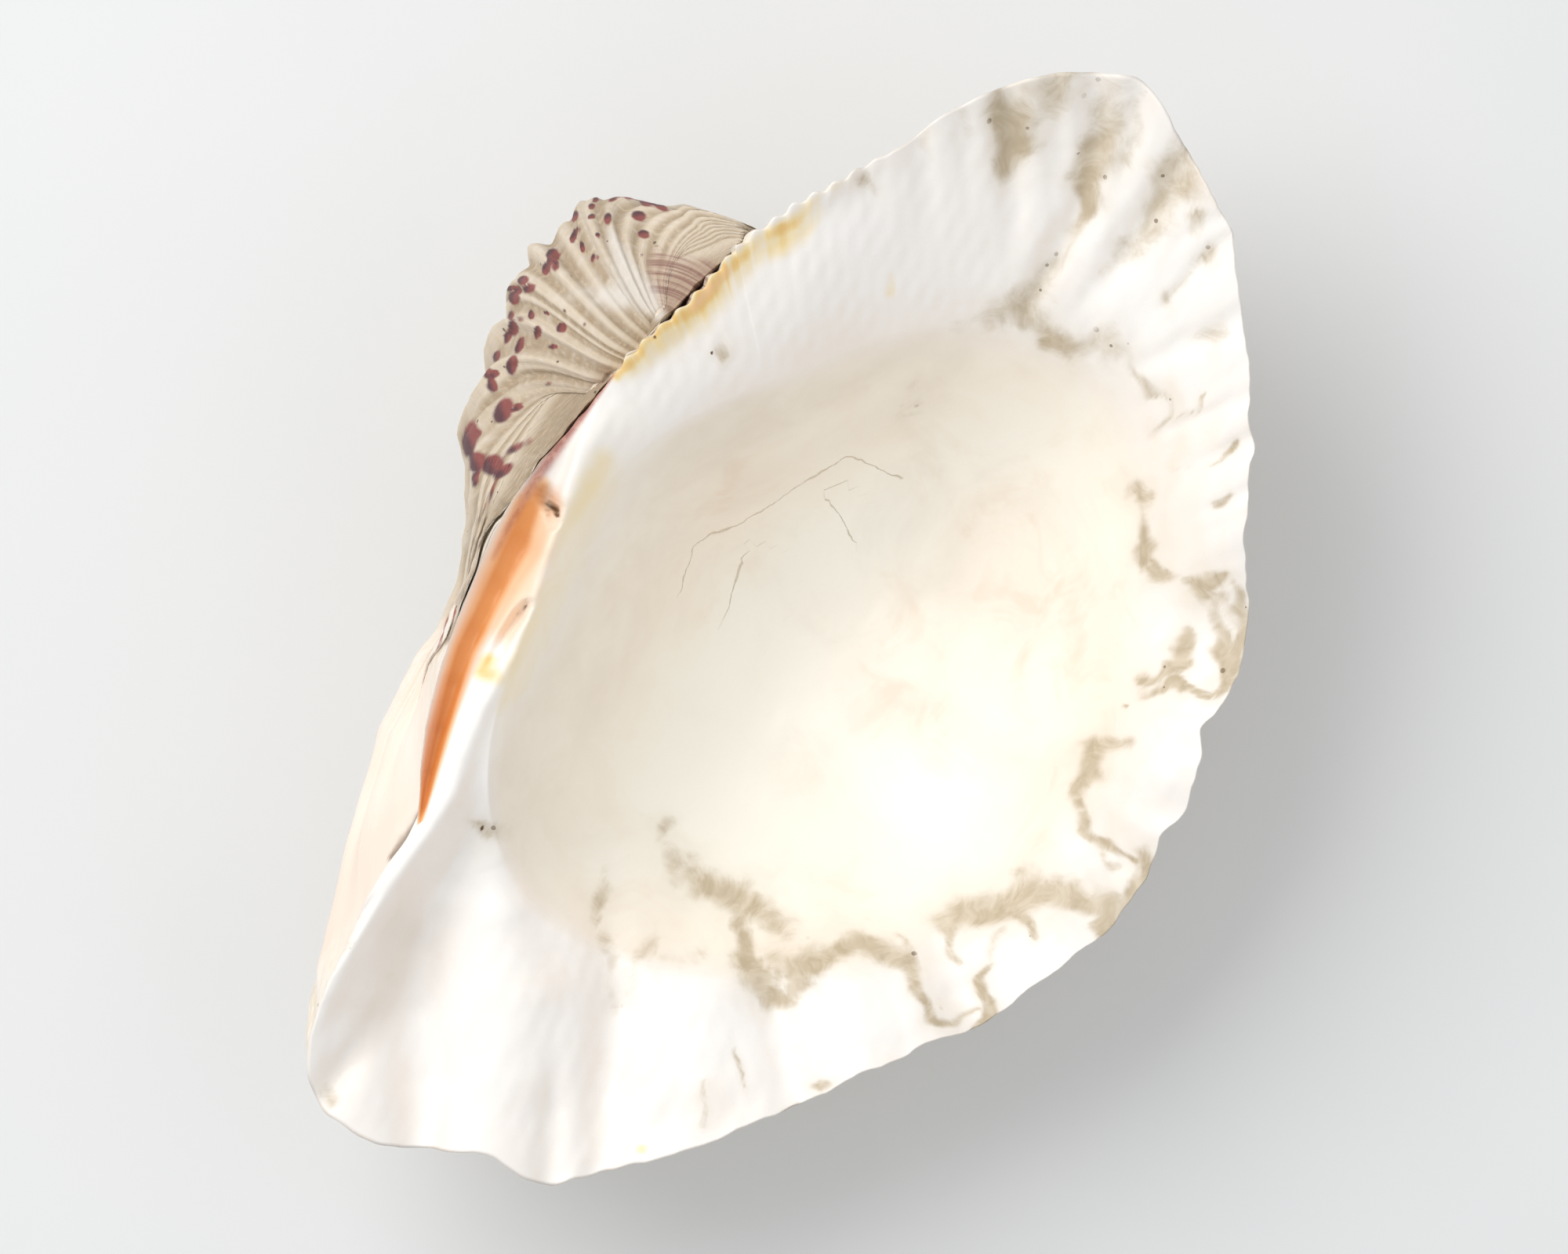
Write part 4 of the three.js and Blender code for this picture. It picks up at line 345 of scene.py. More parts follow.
MXY = MXY + nrm * (0.32 * cw * cwv + rough * keep_smooth)[:, None]
MZ = zlip(MXY[:, 0], MXY[:, 1]) + relief(MXY[:, 0], MXY[:, 1]) + 0.45 * cw * cwv + 1.6 * cw
LIFT = blur(np.interp(MXY[:, 1], [-62, -30, 10, 35, 41], [5, 6, 9, 12, 12.2]), 6 / DS)
M0Z = blur(zlip(M0[:, 0], M0[:, 1]), 4 / DS) - LIFT


def rib_table():
    cs = sorted([(np.argmin(np.hypot(MXY[:, 0] - c[0], MXY[:, 1] - c[1])) * DS, c[2]) for c in CREST])
    F = np.zeros(NM); pos = np.ones(NM); idx = np.zeros(NM); n = len(cs)
    for k in range(n):
        s, a = cs[k]; sp = cs[k - 1][0] - (LEN if k == 0 else 0); sn = cs[(k + 1) % n][0] + (LEN if k == n - 1 else 0)
        wl = min((s - sp) / 2, 22.0); wr = min((sn - s) / 2, 22.0)
        d = (MS - s + LEN / 2) % LEN - LEN / 2
        x = np.where(d < 0, -d / wl, d / wr); m = x < 1
        F[m] += a * (np.cos(np.pi * x[m] / 2) ** 2) ** 0.8
        m2 = x < pos; pos[m2] = x[m2]; idx[m2] = k + 1
    return blur(F, 0.5 / DS), blur(1 - pos, 0.6 / DS), idx, cs


FR, RIB, RIDX, CS = rib_table()
_pt = np.linspace(0, 4.6, 93); _lt = np.interp(_pt, [0,0.4,0.8,1.2,1.6,2.0,2.4,2.8,3.2,3.6,4.0,4.5], [0,0.25,0.50,0.75,1.02,1.30,1.575,1.83,2.06,2.29,2.52,2.80])
_k = np.exp(-0.5 * (np.arange(-6, 7) / 2.5) ** 2); _k /= _k.sum()
_l2 = np.convolve(np.r_[_lt[0] - (_lt[1:7] - _lt[0])[::-1], _lt, _lt[-1] + (_lt[-1] - _lt[-7:-1])[::-1]], _k, 'valid')


def scl(phi):
    return np.exp(-np.interp(phi, _pt, _l2 - _l2[0]))


def samp(T, u):
    x = (np.asarray(u, float) % 1.0) * NM; i = np.floor(x).astype(int) % NM; f = x - np.floor(x); j = (i + 1) % NM
    if T.ndim == 2:
        return T[i] * (1 - f)[..., None] + T[j] * f[..., None]
    return T[i] * (1 - f) + T[j] * f


def base(u, phi):
    m = samp(M0, u); z = samp(M0Z, u); s = scl(phi)
    a = m[..., 0] - BEAK[0]; b = BEAK[1] - m[..., 1]; h = z - BEAK[2]; c, si = np.cos(phi), np.sin(phi)
    return np.stack([BEAK[0] + s * a, BEAK[1] - s * (b * c + h * si), BEAK[2] - s * (DEEP * b * si - h * c)], -1)


def warp(P):
    x, y, z = P[..., 0], P[..., 1], P[..., 2]
    edge = np.interp(x, EX, EY); e = y - edge; dz = np.maximum(zlip(x, edge) - z, 0)
    g = (dz / 13.0) * np.exp(1 - dz / 13.0)
    w = sstep(-96, -80, x) * (1 - sstep(-22, -8, x)) * np.exp(-(np.minimum(e, 0) / 22.0) ** 2)
    amt = 4.6 * w * g; wl = sstep(36, 44, x) * (1 - sstep(78, 94, x))
    oo = e + 0.6 + 0.16 * dz; over = 0.5 * (oo + np.sqrt(oo * oo + 9.0)) - 0.5 * (np.sqrt(9.36) - 0.6) * np.exp(-dz / 4)
    y2 = y + amt * 0.94 - wl * over; x2 = x - amt * 0.30
    k = np.interp(x2, KX, KV); e2 = y2 - np.interp(x2, EX, EY)
    y2 = y2 - np.maximum(e2, 0) * (1 - k) * sstep(0, 5, e2) * (x2 < 46)
    return np.stack([x2, y2, z], -1)


def normal_of(u, phi):
    T1 = base(u + 0.0012, phi) - base(u - 0.0012, phi); T2 = base(u, phi + 0.01) - base(u, np.maximum(phi - 0.01, 0))
    N = np.cross(T1, T2)
    return N / (np.linalg.norm(N, axis=-1)[..., None] + 1e-9)


_n = normal_of(np.array([0.5]), np.array([0.0]))[0]
OUT = -1.0 if _n[:2] @ (samp(M0, np.array([0.5]))[0] - CEN) < 0 else 1.0

# growth stops of the outside: turn, strength
_g = np.random.RandomState(5)
STOPS = []
_t = 0.09
while _t < 4.4:
    STOPS.append((_t, float(_g.uniform(0.35, 1.0))))
    _t += float(_g.uniform(0.07, 0.15))
WOB = [(_g.uniform(0, 6.28), int(_g.randint(3, 16)), float(_g.uniform(0.004, 0.012))) for _ in range(7)]
lump = waves(3, [9.0, 4.5, 2.4], [0.20, 0.11, 0.05])


def growth_fields(u, phi):
    """Growth coordinate with a little waver, rib shape and growth-stop lamellae."""
    wob = np.zeros_like(phi)
    for p, k, a in WOB:
        wob += a * np.sin(2 * np.pi * k * u + p + 1.3 * phi)
    rib = samp(RIB, u); g = phi + wob + 0.035 * rib * sstep(0.0, 0.3, phi)
    lam = np.zeros_like(phi)
    for t, a in STOPS:
        d = g - t
        lam += a * np.where(d > 0, np.exp(-d / 0.035), np.exp(-(d / 0.008) ** 2))
    return g, rib, lam


# knuckled ribs of the umbo: places round the edge of crests and of the hollows between
DOME_U = [0.236, 0.248, 0.265, 0.3015, 0.3283, 0.349, 0.3845, 0.4142, 0.438, 0.4625, 0.480, 0.4925, 0.5045, 0.538, 0.570, 0.616, 0.6425, 0.670, 0.70]
DOME_H = [0, 0.8, 0, 0.9, 0, 1.0, 0, 1.0, 0, 1.05, 0, 1.0, 0, 1.0, 0, 0.9, 0, 0.6, 0]
BEAK_SHIFT = np.array([-4.1, -3.4, 4.0])
FILL_U = [0, 0.02, 0.10, 0.24, 0.65, 0.72, 0.80, 1.0]; FILL_T = [0.08, 0.1, 1.2, 1.95, 1.95, 1.3, 0.1, 0.08]


def dome(u):
    u = np.asarray(u, float) % 1.0
    k = np.clip(np.searchsorted(DOME_U, u) - 1, 0, len(DOME_U) - 2); a = np.take(DOME_U, k); b = np.take(DOME_U, k + 1)
    t = np.clip((u - a) / (b - a), 0, 1); t = 0.5 - 0.5 * np.cos(np.pi * t)
    return np.where((u > DOME_U[0]) & (u < DOME_U[-1]), np.take(DOME_H, k) * (1 - t) + np.take(DOME_H, k + 1) * t, 0.0)


def outer(u, phi):
    N = OUT * normal_of(u, phi); s = scl(phi)
    A = np.interp(phi, [0, 0.35, 1.2, 2.2, 2.8, 4.0, 4.45], [0.55, 1.0, 1.15, 1.45, 1.6, 1.1, 0.0])
    P = warp(base(u, phi)) + N * (samp(FR, u) * A * s)[..., None]
    z0 = np.zeros_like(phi)
    N0 = OUT * normal_of(u, z0); P0 = warp(base(u, z0)) + N0 * (samp(FR, u) * 0.55)[..., None]
    E = np.concatenate([samp(MXY, u), samp(MZ, u)[..., None]], -1)
    P = P + (E - P0) * np.exp(-(phi / 0.17) ** 2)[..., None]
    P[..., 2] -= EDGE_THICK * (1 - np.exp(-(phi / 0.008))) * np.exp(-(phi / 0.30) ** 2)
    dm = dome(u); up_ = sstep(1.6, 2.4, phi)
    P = P + N * (1.15 * dm * up_ * np.minimum(s / scl(2.35), 1.5))[..., None]
    P = P + BEAK_SHIFT * sstep(2.3, 4.1, phi)[..., None]
    # the top of the umbo climbs to the hinge edge
    ed = np.interp(P[..., 0], EX, EY); e = P[..., 1] - ed
    gap = zlip(P[..., 0], ed) - 3.1 - 1.0 * np.maximum(e, 0) - P[..., 2]; gap = 0.5 * (gap + np.sqrt(gap * gap + 4.0))
    lo = np.interp(u % 1.0, FILL_U, FILL_T); far = np.interp(lo, [0.1, 1.9], [-24.0, -44.0])
    P[..., 2] += np.minimum(gap, 14) * sstep(lo, lo + 0.12 + 0.26 * lo, phi) * sstep(-1.0 + 0.6 * lo, 0.15 + 1.2 * lo, e) * sstep(far - 16, far, P[..., 0]) * (1 - sstep(40, 54, P[..., 0]))
    # threads on the ribs, growth lamellae and lumps
    g, rib, lam = growth_fields(u, phi)
    in_dome = sstep(0.225, 0.25, u % 1.0) * (1 - sstep(0.68, 0.71, u % 1.0)) * sstep(1.8, 2.3, phi)
    rib = rib * (1 - in_dome) + dm * in_dome
    ms = (u % 1.0) * LEN
    flank = sstep(-100, -70, P[..., 0]) * (1 - sstep(-52, -10, P[..., 0] + 5 * np.sin(0.35 * P[..., 2]))) * sstep(8, 20, P[..., 1] + 0.25 * (P[..., 0] + 60)) * (1 - sstep(1.1, 1.9, phi))
    on = sstep(0.0, 0.10, phi) * (1 - sstep(4.2, 4.45, phi)) * (1 - 0.85 * flank)
    thread = np.cos(2 * np.pi * ms / 4.1) * 0.5 + 0.5
    h = (0.34 * thread * (0.5 + 0.5 * rib) * (1 - 0.7 * sstep(1.6, 2.2, phi)) + 0.55 * lam * (0.35 + 0.65 * rib)) * np.power(s, 0.75) + lump(P) * np.power(s, 0.5) * 0.9
    P = P + N * (h * on)[..., None]
    P[..., 2] = np.maximum(P[..., 2], WEAR_Z)
    return P, g, rib, lam, thread, flank


RS = blur(np.hypot(MXY[:, 0] - CEN[0], MXY[:, 1] - CEN[1]), 2.6 / DS)
RS = RS + (np.hypot(MXY[:, 0] - CEN[0], MXY[:, 1] - CEN[1]) - RS) * (1 - cw)


def inner_z(m, mz, w, u):
    d = m - CEN; R = np.hypot(d[..., 0], d[..., 1]); th = np.degrees(np.arctan2(d[..., 1], d[..., 0])) % 360
    q2 = cyc(Q2, th / 5.0); z2 = cyc(Z2, th / 15.0); pw = cyc(PW, th / 15.0); Rs = samp(RS, u)
    q = R * (1 - w); x = CEN[0] + d[..., 0] * (1 - w); y = CEN[1] + d[..., 1] * (1 - w)
    qq = np.clip(q / q2, 0, 1); zb = FLOOR_Z + (z2 - FLOOR_Z) * qq ** pw - 0.16 * (y - CEN[1]) * (1 - qq ** 2) ** 2
    zm0 = zlip(m[..., 0], m[..., 1]); m2 = cyc(KC, th / 15.0) * pw * (z2 - FLOOR_Z) / q2 * (Rs - q2); m1 = cyc(SHM, th / 15.0) * (Rs - q2)
    m2 = np.minimum(m2, 1.9 * (zm0 - z2)); m1 = np.minimum(m1, 1.9 * (zm0 - z2))

    def shelf(q):
        v = np.clip((q - q2) / np.maximum(Rs - q2, 1e-3), 0, 1.1)
        return (2 * v**3 - 3 * v**2 + 1) * z2 + (v**3 - 2 * v**2 + v) * m2 + (-2 * v**3 + 3 * v**2) * zm0 + (v**3 - v**2) * m1
    z = np.where(q <= q2, zb, shelf(q)) + relief(x, y)
    z = z + (mz - (shelf(R) + relief(m[..., 0], m[..., 1]))) * np.exp(-(R * w / np.where(samp(cw, u) > 0.5, 2.4, 3.6)) ** 2)
    return x, y, z, R, q2, q


def inner(u, v):
    m = samp(MXY, u); mz = samp(MZ, u)
    d = m - CEN; R = np.hypot(d[..., 0], d[..., 1]); th = np.degrees(np.arctan2(d[..., 1], d[..., 0])) % 360
    q2 = cyc(Q2, th / 5.0); q = np.where(v <= 1, R + (q2 - R) * v, q2 * (2 - v))
    x, y, z, R, q2, q = inner_z(m, mz, 1 - q / R, u)
    P = np.stack([x, y, z], -1); on = sstep(0.0, 4.0, R - q)
    bowl = 1 - sstep(0.96, 1.10, q / q2)
    P[..., 2] += on * (soft_lump(P) * (0.55 + 0.45 * bowl) + fine_lump(P) * (1 - 0.6 * bowl))
    return P, bowl


soft_lump = waves(21, [26.0, 14.0], [0.28, 0.16])
fine_lump = waves(22, [6.0, 3.2], [0.09, 0.05])
_A = np.unwrap(np.arctan2(MXY[:, 1] - CEN[1], MXY[:, 0] - CEN[0])); _s = -1.0 if _A[-1] < _A[0] else 1.0
_Aa = _s * _A; _Ae = np.r_[_Aa - 2 * np.pi, _Aa, _Aa + 2 * np.pi]; _ue = np.r_[np.arange(NM) / NM - 1, np.arange(NM) / NM, np.arange(NM) / NM + 1]


def under_inside(P, phi):
    """Keeps the outside below the inside wherever both lie over the same place of the plan."""
    x, y, z = P[..., 0], P[..., 1], P[..., 2]
    a = _s * np.arctan2(y - CEN[1], x - CEN[0]); a = _Aa[0] + (a - _Aa[0]) % (2 * np.pi); u = np.interp(a, _Ae, _ue)
    mm = samp(MXY, u); R = np.hypot(mm[..., 0] - CEN[0], mm[..., 1] - CEN[1]); q = np.hypot(x - CEN[0], y - CEN[1]); d = np.maximum(R - q, 0)
    zi = inner_z(mm, samp(MZ, u), np.clip(1 - q / R, 0, 1), u)[2]
    over = z - (zi - (1.5 * (1 - np.exp(-d / 0.35)) + 1.3 * sstep(0.5, 6, d))); eps = 0.7 * np.minimum(1, d / 2)
    cut = 0.5 * (over + np.sqrt(over * over + eps * eps))
    P = P.copy(); P[..., 2] = z - np.where(cut > 1e-4, cut, 0) * (R > q) * (1 - sstep(1.9, 2.2, phi)) * sstep(0, 0.02, phi)
    P[..., 2] = np.maximum(P[..., 2], WEAR_Z)
    return P


# ------------------------------------------------------------------ the skin
NA = 704
wt = 1 + 1.1 * cw; cum = np.r_[0, np.cumsum(wt)]; tt = np.arange(NA) * cum[-1] / NA
kk = np.searchsorted(cum, tt, side='right') - 1; US = (kk + (tt - cum[kk]) / wt[kk]) / NM
vi = np.r_[np.linspace(0, 1, 34)[1:] ** 1.15, 1 + np.linspace(0, 1, 33)[1:-1] * 0.985]
ni = np.where(vi <= 1.0, NA, np.where(vi < 1.72, NA // 2, NA // 4))
po = np.r_[[0.008, 0.018, 0.032, 0.05], np.linspace(0.07, 1.10, 40), np.linspace(1.13, 1.95, 28), np.linspace(1.98, TURN_END, 50)]
no = np.where(po <= 1.101, NA, NA // 2)
V = []; U_ = []; T_ = []; KIND = []; ATT = []; faces = []; cnt = 0


def ring(ids0, n0, n1, start):
    ids1 = np.arange(start, start + n1); f = []
    if n0 == n1:
        j = np.arange(n0); k = (j + 1) % n0
        f = np.concatenate([np.stack([ids0[j], ids1[j], ids1[k]], 1), np.stack([ids0[j], ids1[k], ids0[k]], 1)])
    else:
        j = np.arange(n1); a, b, c = ids0[2 * j], ids0[2 * j + 1], ids0[(2 * j + 2) % n0]; p, q = ids1[j], ids1[(j + 1) % n1]
        f = np.concatenate([np.stack([a, p, b], 1), np.stack([b, p, q], 1), np.stack([b, q, c], 1)])
    return ids1, f


# inside
P, bowl = inner(US, np.zeros(NA)); V.append(P); cnt = NA
edge_ids = np.arange(NA); info = [(US, np.zeros(NA), np.zeros(NA))]
prev, n_prev = edge_ids, NA
for v, n in zip(vi, ni):
    us = US[:: NA // n]; P, b = inner(us, np.full(n, v)); V.append(P); info.append((us, np.full(n, v), np.zeros(n)))
    prev, f = ring(prev, n_prev, n, cnt); faces.append(f); n_prev = n; cnt += n
P, b = inner(np.array([0.0]), np.array([2.0])); V.append(P); info.append((np.zeros(1), np.full(1, 2.0), np.zeros(1)))
j = np.arange(n_prev); faces.append(np.stack([prev[j], np.full(n_prev, cnt), prev[(j + 1) % n_prev]], 1)); cnt += 1
n_inner = cnt; f_inner = sum(len(f) for f in faces)
# outside
prev, n_prev = edge_ids, NA; OA = []
for t, n in zip(po, no):
    us = US[:: NA // n]; ph = np.full(n, t); P, g, rib, lam, thr, fl = outer(us, ph)
    V.append(under_inside(P, ph)); info.append((us, ph, np.ones(n))); OA.append(np.stack([g, rib, lam, thr, fl], 1))
    prev, f = ring(prev, n_prev, n, cnt); faces.append(f[:, [0, 2, 1]]); n_prev = n; cnt += n
last = V[-1]; mid = last.mean(0); us = info[-1][0]
for s_ in (0.66, 0.33):
    r = mid + (last - mid) * s_; r[:, 2] += (1 - s_**2) * 0.8
    V.append(r); info.append((us, np.full(n_prev, TURN_END + 0.02), np.ones(n_prev))); OA.append(OA[-1].copy())
    prev, f = ring(prev, n_prev, n_prev, cnt); faces.append(f[:, [0, 2, 1]]); cnt += n_prev
V.append((mid + np.array([0, 0, 0.8]))[None]); info.append((np.zeros(1), np.full(1, TURN_END + 0.04), np.ones(1))); OA.append(OA[-1][:1])
j = np.arange(n_prev); faces.append(np.stack([prev[j], prev[(j + 1) % n_prev], np.full(n_prev, cnt)], 1)); cnt += 1
V = np.vstack(V); F = np.vstack(faces)
uu = np.concatenate([i[0] for i in info]); tt = np.concatenate([i[1] for i in info]); side = np.concatenate([i[2] for i in info])
a, b, c = V[F[:, 0]], V[F[:, 1]], V[F[:, 2]]
if np.einsum('ij,ij->i', a, np.cross(b, c)).sum() < 0:
    F = F[:, ::-1]
FN = np.cross(V[F[:, 1]] - V[F[:, 0]], V[F[:, 2]] - V[F[:, 0]])
VN = np.zeros_like(V)
for k in range(3):
    np.add.at(VN, F[:, k], FN)
VN /= np.linalg.norm(VN, axis=1)[:, None] + 1e-12
O = side > 0.5
OA = np.vstack(OA); G = np.zeros((len(V), 5)); G[O] = OA
x, y, z = V.T

# ------------------------------------------------------------------ masks
V0 = V * [1, 1, 0]
wx1 = waves(41, [11.0, 5.5, 2.6], [0.65, 0.42, 0.18])(V0); wy1 = waves(42, [11.0, 5.5, 2.6], [0.65, 0.42, 0.18])(V0)
xn = x + wx1; yn = y + wy1; xh = x + 0.4 * wx1; yh = y + 0.4 * wy1
inner_on = (~O).astype(float)
d = V[:, :2] - CEN; R_ = np.hypot(d[:, 0], d[:, 1]); th = np.degrees(np.arctan2(d[:, 1], d[:, 0])) % 360
rq = R_ / cyc(Q2, th / 5.0); hs = sstep(0.15, 0.75, d[:, 1] / np.maximum(R_, 1e-6) - 0.25 * d[:, 0] / np.maximum(R_, 1e-6))
basin = (1 - sstep(0.90 + 0.065 * hs, 1.04 - 0.03 * hs, rq)) * inner_on
# painted shadow: a band just inside the brink on the hinge side, where the overhanging shelf shades the bowl
under = hs * (1 - sstep(0.985, 1.01, rq)) * sstep(0.62, 0.985, rq) * inner_on
halo = marks(STAIN, xn, yn, 3.0) * inner_on
stain = marks(STAIN, xn, yn, 1.5) * inner_on
# outer face of the deep channels is stained too, just under the edge
rim = np.where(O, np.exp(-(tt / 0.06) ** 2), 1.0)
stain = np.maximum(stain, marks(STAIN, xn, yn, 1.3) * O * rim * 0.8)
# painted bounce light: steeper inside walls get a warm peach tint that stands in for warm light bounced inside the bowl
steep = sstep(0.03, 0.42, 1 - VN[:, 2]) * inner_on
peach = np.maximum(marks(PEACH, xn, yn) * 0.8, 0.46 * steep) * inner_on
yellow = marks(YELLOW, xh, yh) * np.where(O, np.exp(-(tt / 0.05) ** 2), 1.0)
orange = marks(ORANGE, x, y, 0.95) * np.where(O, np.exp(-(tt / 0.012) ** 2), 1.0)
red = marks(RED, x, y) * np.where(O, np.exp(-(tt / 0.10) ** 2), 1.0)
pits = marks(PITS, x, y) * inner_on
lipw = marks(LIPW, x, y) * inner_on; basin = basin * (1 - 0.9 * lipw); peach = peach * (1 - 0.8 * lipw)
# painted shade: the shade strokes plus the painted shadow just inside the brink
painted_shade = np.maximum(marks(SHADE_STROKES, x, y), 0.55 * under * sstep(-75, -35, x)) * inner_on
top = O & (VN[:, 2] > -0.25) & (tt > 1.3)
near = O & (tt > 0.10) & (tt <= 1.3) & (y > 25) & (VN[:, 2] > -0.25)
topw = np.where(top | near, sstep(-0.25, 0.05, VN[:, 2]), 0.0) * np.where(near, sstep(-44, -20, x) * (1 - sstep(46, 56, x)) * sstep(0.10, 0.25, tt), 1.0)
spot = np.zeros(len(V)); moon = np.zeros(len(V)); bk = np.array([19.0, 40.0])
for sx, sy, dx, dy, la, sb, st in SPOT:
    rx, ry = x + 0.28 * wx1 - sx, y + 0.28 * wy1 - sy
    l = rx * dx + ry * dy; s2 = -rx * dy + ry * dx
    q = np.sqrt((l / (la * 1.08)) ** 2 + (s2 / (sb * 1.12)) ** 2)
    val = st * np.exp2(-np.clip(q, 0, 9) ** 3 * 1.0) * topw; away = np.array([sx, sy]) - bk; away /= np.hypot(*away) + 1e-9
    moon = np.where(val > spot, 0.5 + 0.5 * np.clip((rx * away[0] + ry * away[1]) / (0.8 * min(la, sb) + 0.15), -1, 1), moon)
    spot = np.maximum(spot, val)
# blotches on the rib crests of the unseen outside, one row along each rib
ridx = RIDX[np.clip((uu * NM).astype(int), 0, NM - 1)].astype(int)
rr = np.random.RandomState(77); off = rr.uniform(0, 1, 64); table = rr.uniform(0, 1, (64, 64)); wide = rr.uniform(0.3, 0.6, (64, 64))
gc = G[:, 0] / 0.135 + off[ridx]; cell = np.floor(gc).astype(int) % 64; fr = gc - np.floor(gc)
bl = sstep(0.30, 0.62, G[:, 1]) * np.exp2(-(np.abs(fr - 0.5) / (0.5 * wide[ridx, cell])) ** 4) * (table[ridx, cell] > 0.42)
band = 0.55 + 0.45 * np.sin(G[:, 0] * 9.0 + 0.6)
blotch = bl * O * (1 - topw) * (0.35 + 0.65 * band) * sstep(0.05, 0.25, tt) * (1 - 0.9 * G[:, 4])
worn = marks(WORN, x, y) * topw
stripe = marks(STRIPE, x, y, 1.15) * O
dirt_and_seam_shadow = marks(DIRT, x, y) * O
# painted shadow: dark band on the outside just under the hinge lip, where the lip shades the seam
seam_shadow = np.where(O & (x < 28) & (x > -62) & (y > 12), np.exp(-(tt / 0.05) ** 2) * sstep(0, 0.006, tt), 0.0)
dirt_and_seam_shadow = np.maximum(dirt_and_seam_shadow, 0.75 * seam_shadow)
crack = np.full(len(V), 9.0); crackw = np.zeros(len(V))
for line in CRACKS:
    for p, q in zip(line[:-1], line[1:]):
        ex, ey = q[0] - p[0], q[1] - p[1]; l2 = ex * ex + ey * ey
        t = ((x - p[0]) * ex + (y - p[1]) * ey) / l2; tc = np.clip(t, 0, 1)
        dd = np.hypot(x - p[0] - tc * ex, y - p[1] - tc * ey); sg = np.sign((x - p[0]) * ey - (y - p[1]) * ex)
        m = (dd < np.abs(crack)) & (~O); crack[m] = (dd * sg)[m]
    e0, e1 = np.array(line[0]), np.array(line[-1])
    lo = np.min(line, axis=0) - 1.0; hi = np.max(line, axis=0) + 1.0
    crackw[(x > lo[0]) & (x < hi[0]) & (y > lo[1]) & (y < hi[1]) & (~O)] = 1.0

# ------------------------------------------------------------------ the piece
S = 0.001
W = np.stack([(x - ORIGIN[0]) * S, (y - ORIGIN[1]) * S, (z - WEAR_Z) * S], 1)
me = bpy.data.meshes.new("valve_skin")
me.vertices.add(len(W)); me.vertices.foreach_set("co", W.astype(np.float32).ravel())
me.loops.add(len(F) * 3); me.loops.foreach_set("vertex_index", F.astype(np.int32).ravel())
me.polygons.add(len(F)); me.polygons.foreach_set("loop_start", np.arange(len(F), dtype=np.int32) * 3)
me.polygons.foreach_set("loop_total", np.full(len(F), 3, dtype=np.int32))
me.polygons.foreach_set("use_smooth", np.ones(len(F), dtype=bool))
me.update(calc_edges=True)


def attr(name, *cols):
    at = me.attributes.new(name, 'FLOAT_VECTOR', 'POINT')
    at.data.foreach_set("vector", np.stack([np.asarray(q, float) for q in cols], 1).astype(np.float32).ravel())


# peach channel holds the real peach marks plus the painted warm bounce on steep walls
attr("m_stain", stain, peach, basin)
attr("m_hinge", orange, yellow, red)
# second channel is the painted shade under the brink and in the back channel
attr("m_pits", pits, painted_shade, lipw)
attr("m_crack", crack, crackw, O.astype(float))
attr("m_umbo", spot, worn, stripe)
# third channel: real dirt specks plus the painted seam shadow
attr("m_out", blotch, G[:, 1], dirt_and_seam_shadow)
attr("m_grow", G[:, 0], uu * LEN, G[:, 4])
attr("m_lam", np.where(O, G[:, 2], halo), moon, topw)

# one map of the whole skin: inside on one half, outside on the other
rho = np.ones(len(V))
_pp = np.linspace(0, TURN_END + 0.05, 60); rho_t = np.interp(tt, _pp, 1 - (_pp / _pp[-1]) ** 0.9)
m2 = samp(MXY, uu)
px_ = np.where(O, CEN[0] + (m2[:, 0] - CEN[0]) * rho_t, x); py_ = np.where(O, CEN[1] + (m2[:, 1] - CEN[1]) * rho_t, y)
un = (px_ + 97.0) / 194.0; vn = (py_ + 65.0) / 130.0
uv_in = np.stack([0.005 + 0.99 * un, 0.503 + 0.494 * vn], 1); uv_out = np.stack([0.005 + 0.99 * un, 0.003 + 0.494 * vn], 1)
face_in = np.zeros(len(F), bool); face_in[:f_inner] = True
lay = me.uv_layers.new(name="OFBake")
uv = np.where(np.repeat(face_in, 3)[:, None], uv_in[F.ravel()], uv_out[F.ravel()])
lay.data.foreach_set("uv", uv.astype(np.float32).ravel())

valve = bpy.data.objects.new("valve_skin", me)
bpy.context.scene.collection.objects.link(valve)


# ------------------------------------------------------------------ material
def lin(r, g, b):
    f = lambda q: (q / 255 / 12.92) if q / 255 <= 0.04045 else ((q / 255 + 0.055) / 1.055) ** 2.4
    return (f(r), f(g), f(b), 1.0)


mat = bpy.data.materials.new("shell"); mat.use_nodes = True
nt = mat.node_tree; nt.nodes.clear()


def node(kind, **kw):
    n = nt.nodes.new(kind)
    for k, v in kw.items():
        setattr(n, k, v)
    return n


def put(sock, v):
    if isinstance(v, (int, float, tuple)):
        sock.default_value = v
    else:
        nt.links.new(v, sock)


def math_(op, a, b=0.0, c=0.0, clamp=False):
    n = node("ShaderNodeMath", operation=op, use_clamp=clamp)
    put(n.inputs[0], a); put(n.inputs[1], b); put(n.inputs[2], c)
    return n.outputs[0]


def mul(a, b): return math_('MULTIPLY', a, b)
def add(a, b): return math_('ADD', a, b)
def sub(a, b): return math_('SUBTRACT', a, b)


def ss(lo, hi, v):
    n = node("ShaderNodeMapRange", interpolation_type='SMOOTHSTEP')
    put(n.inputs['Value'], v); put(n.inputs['From Min'], lo); put(n.inputs['From Max'], hi)
    return n.outputs[0]


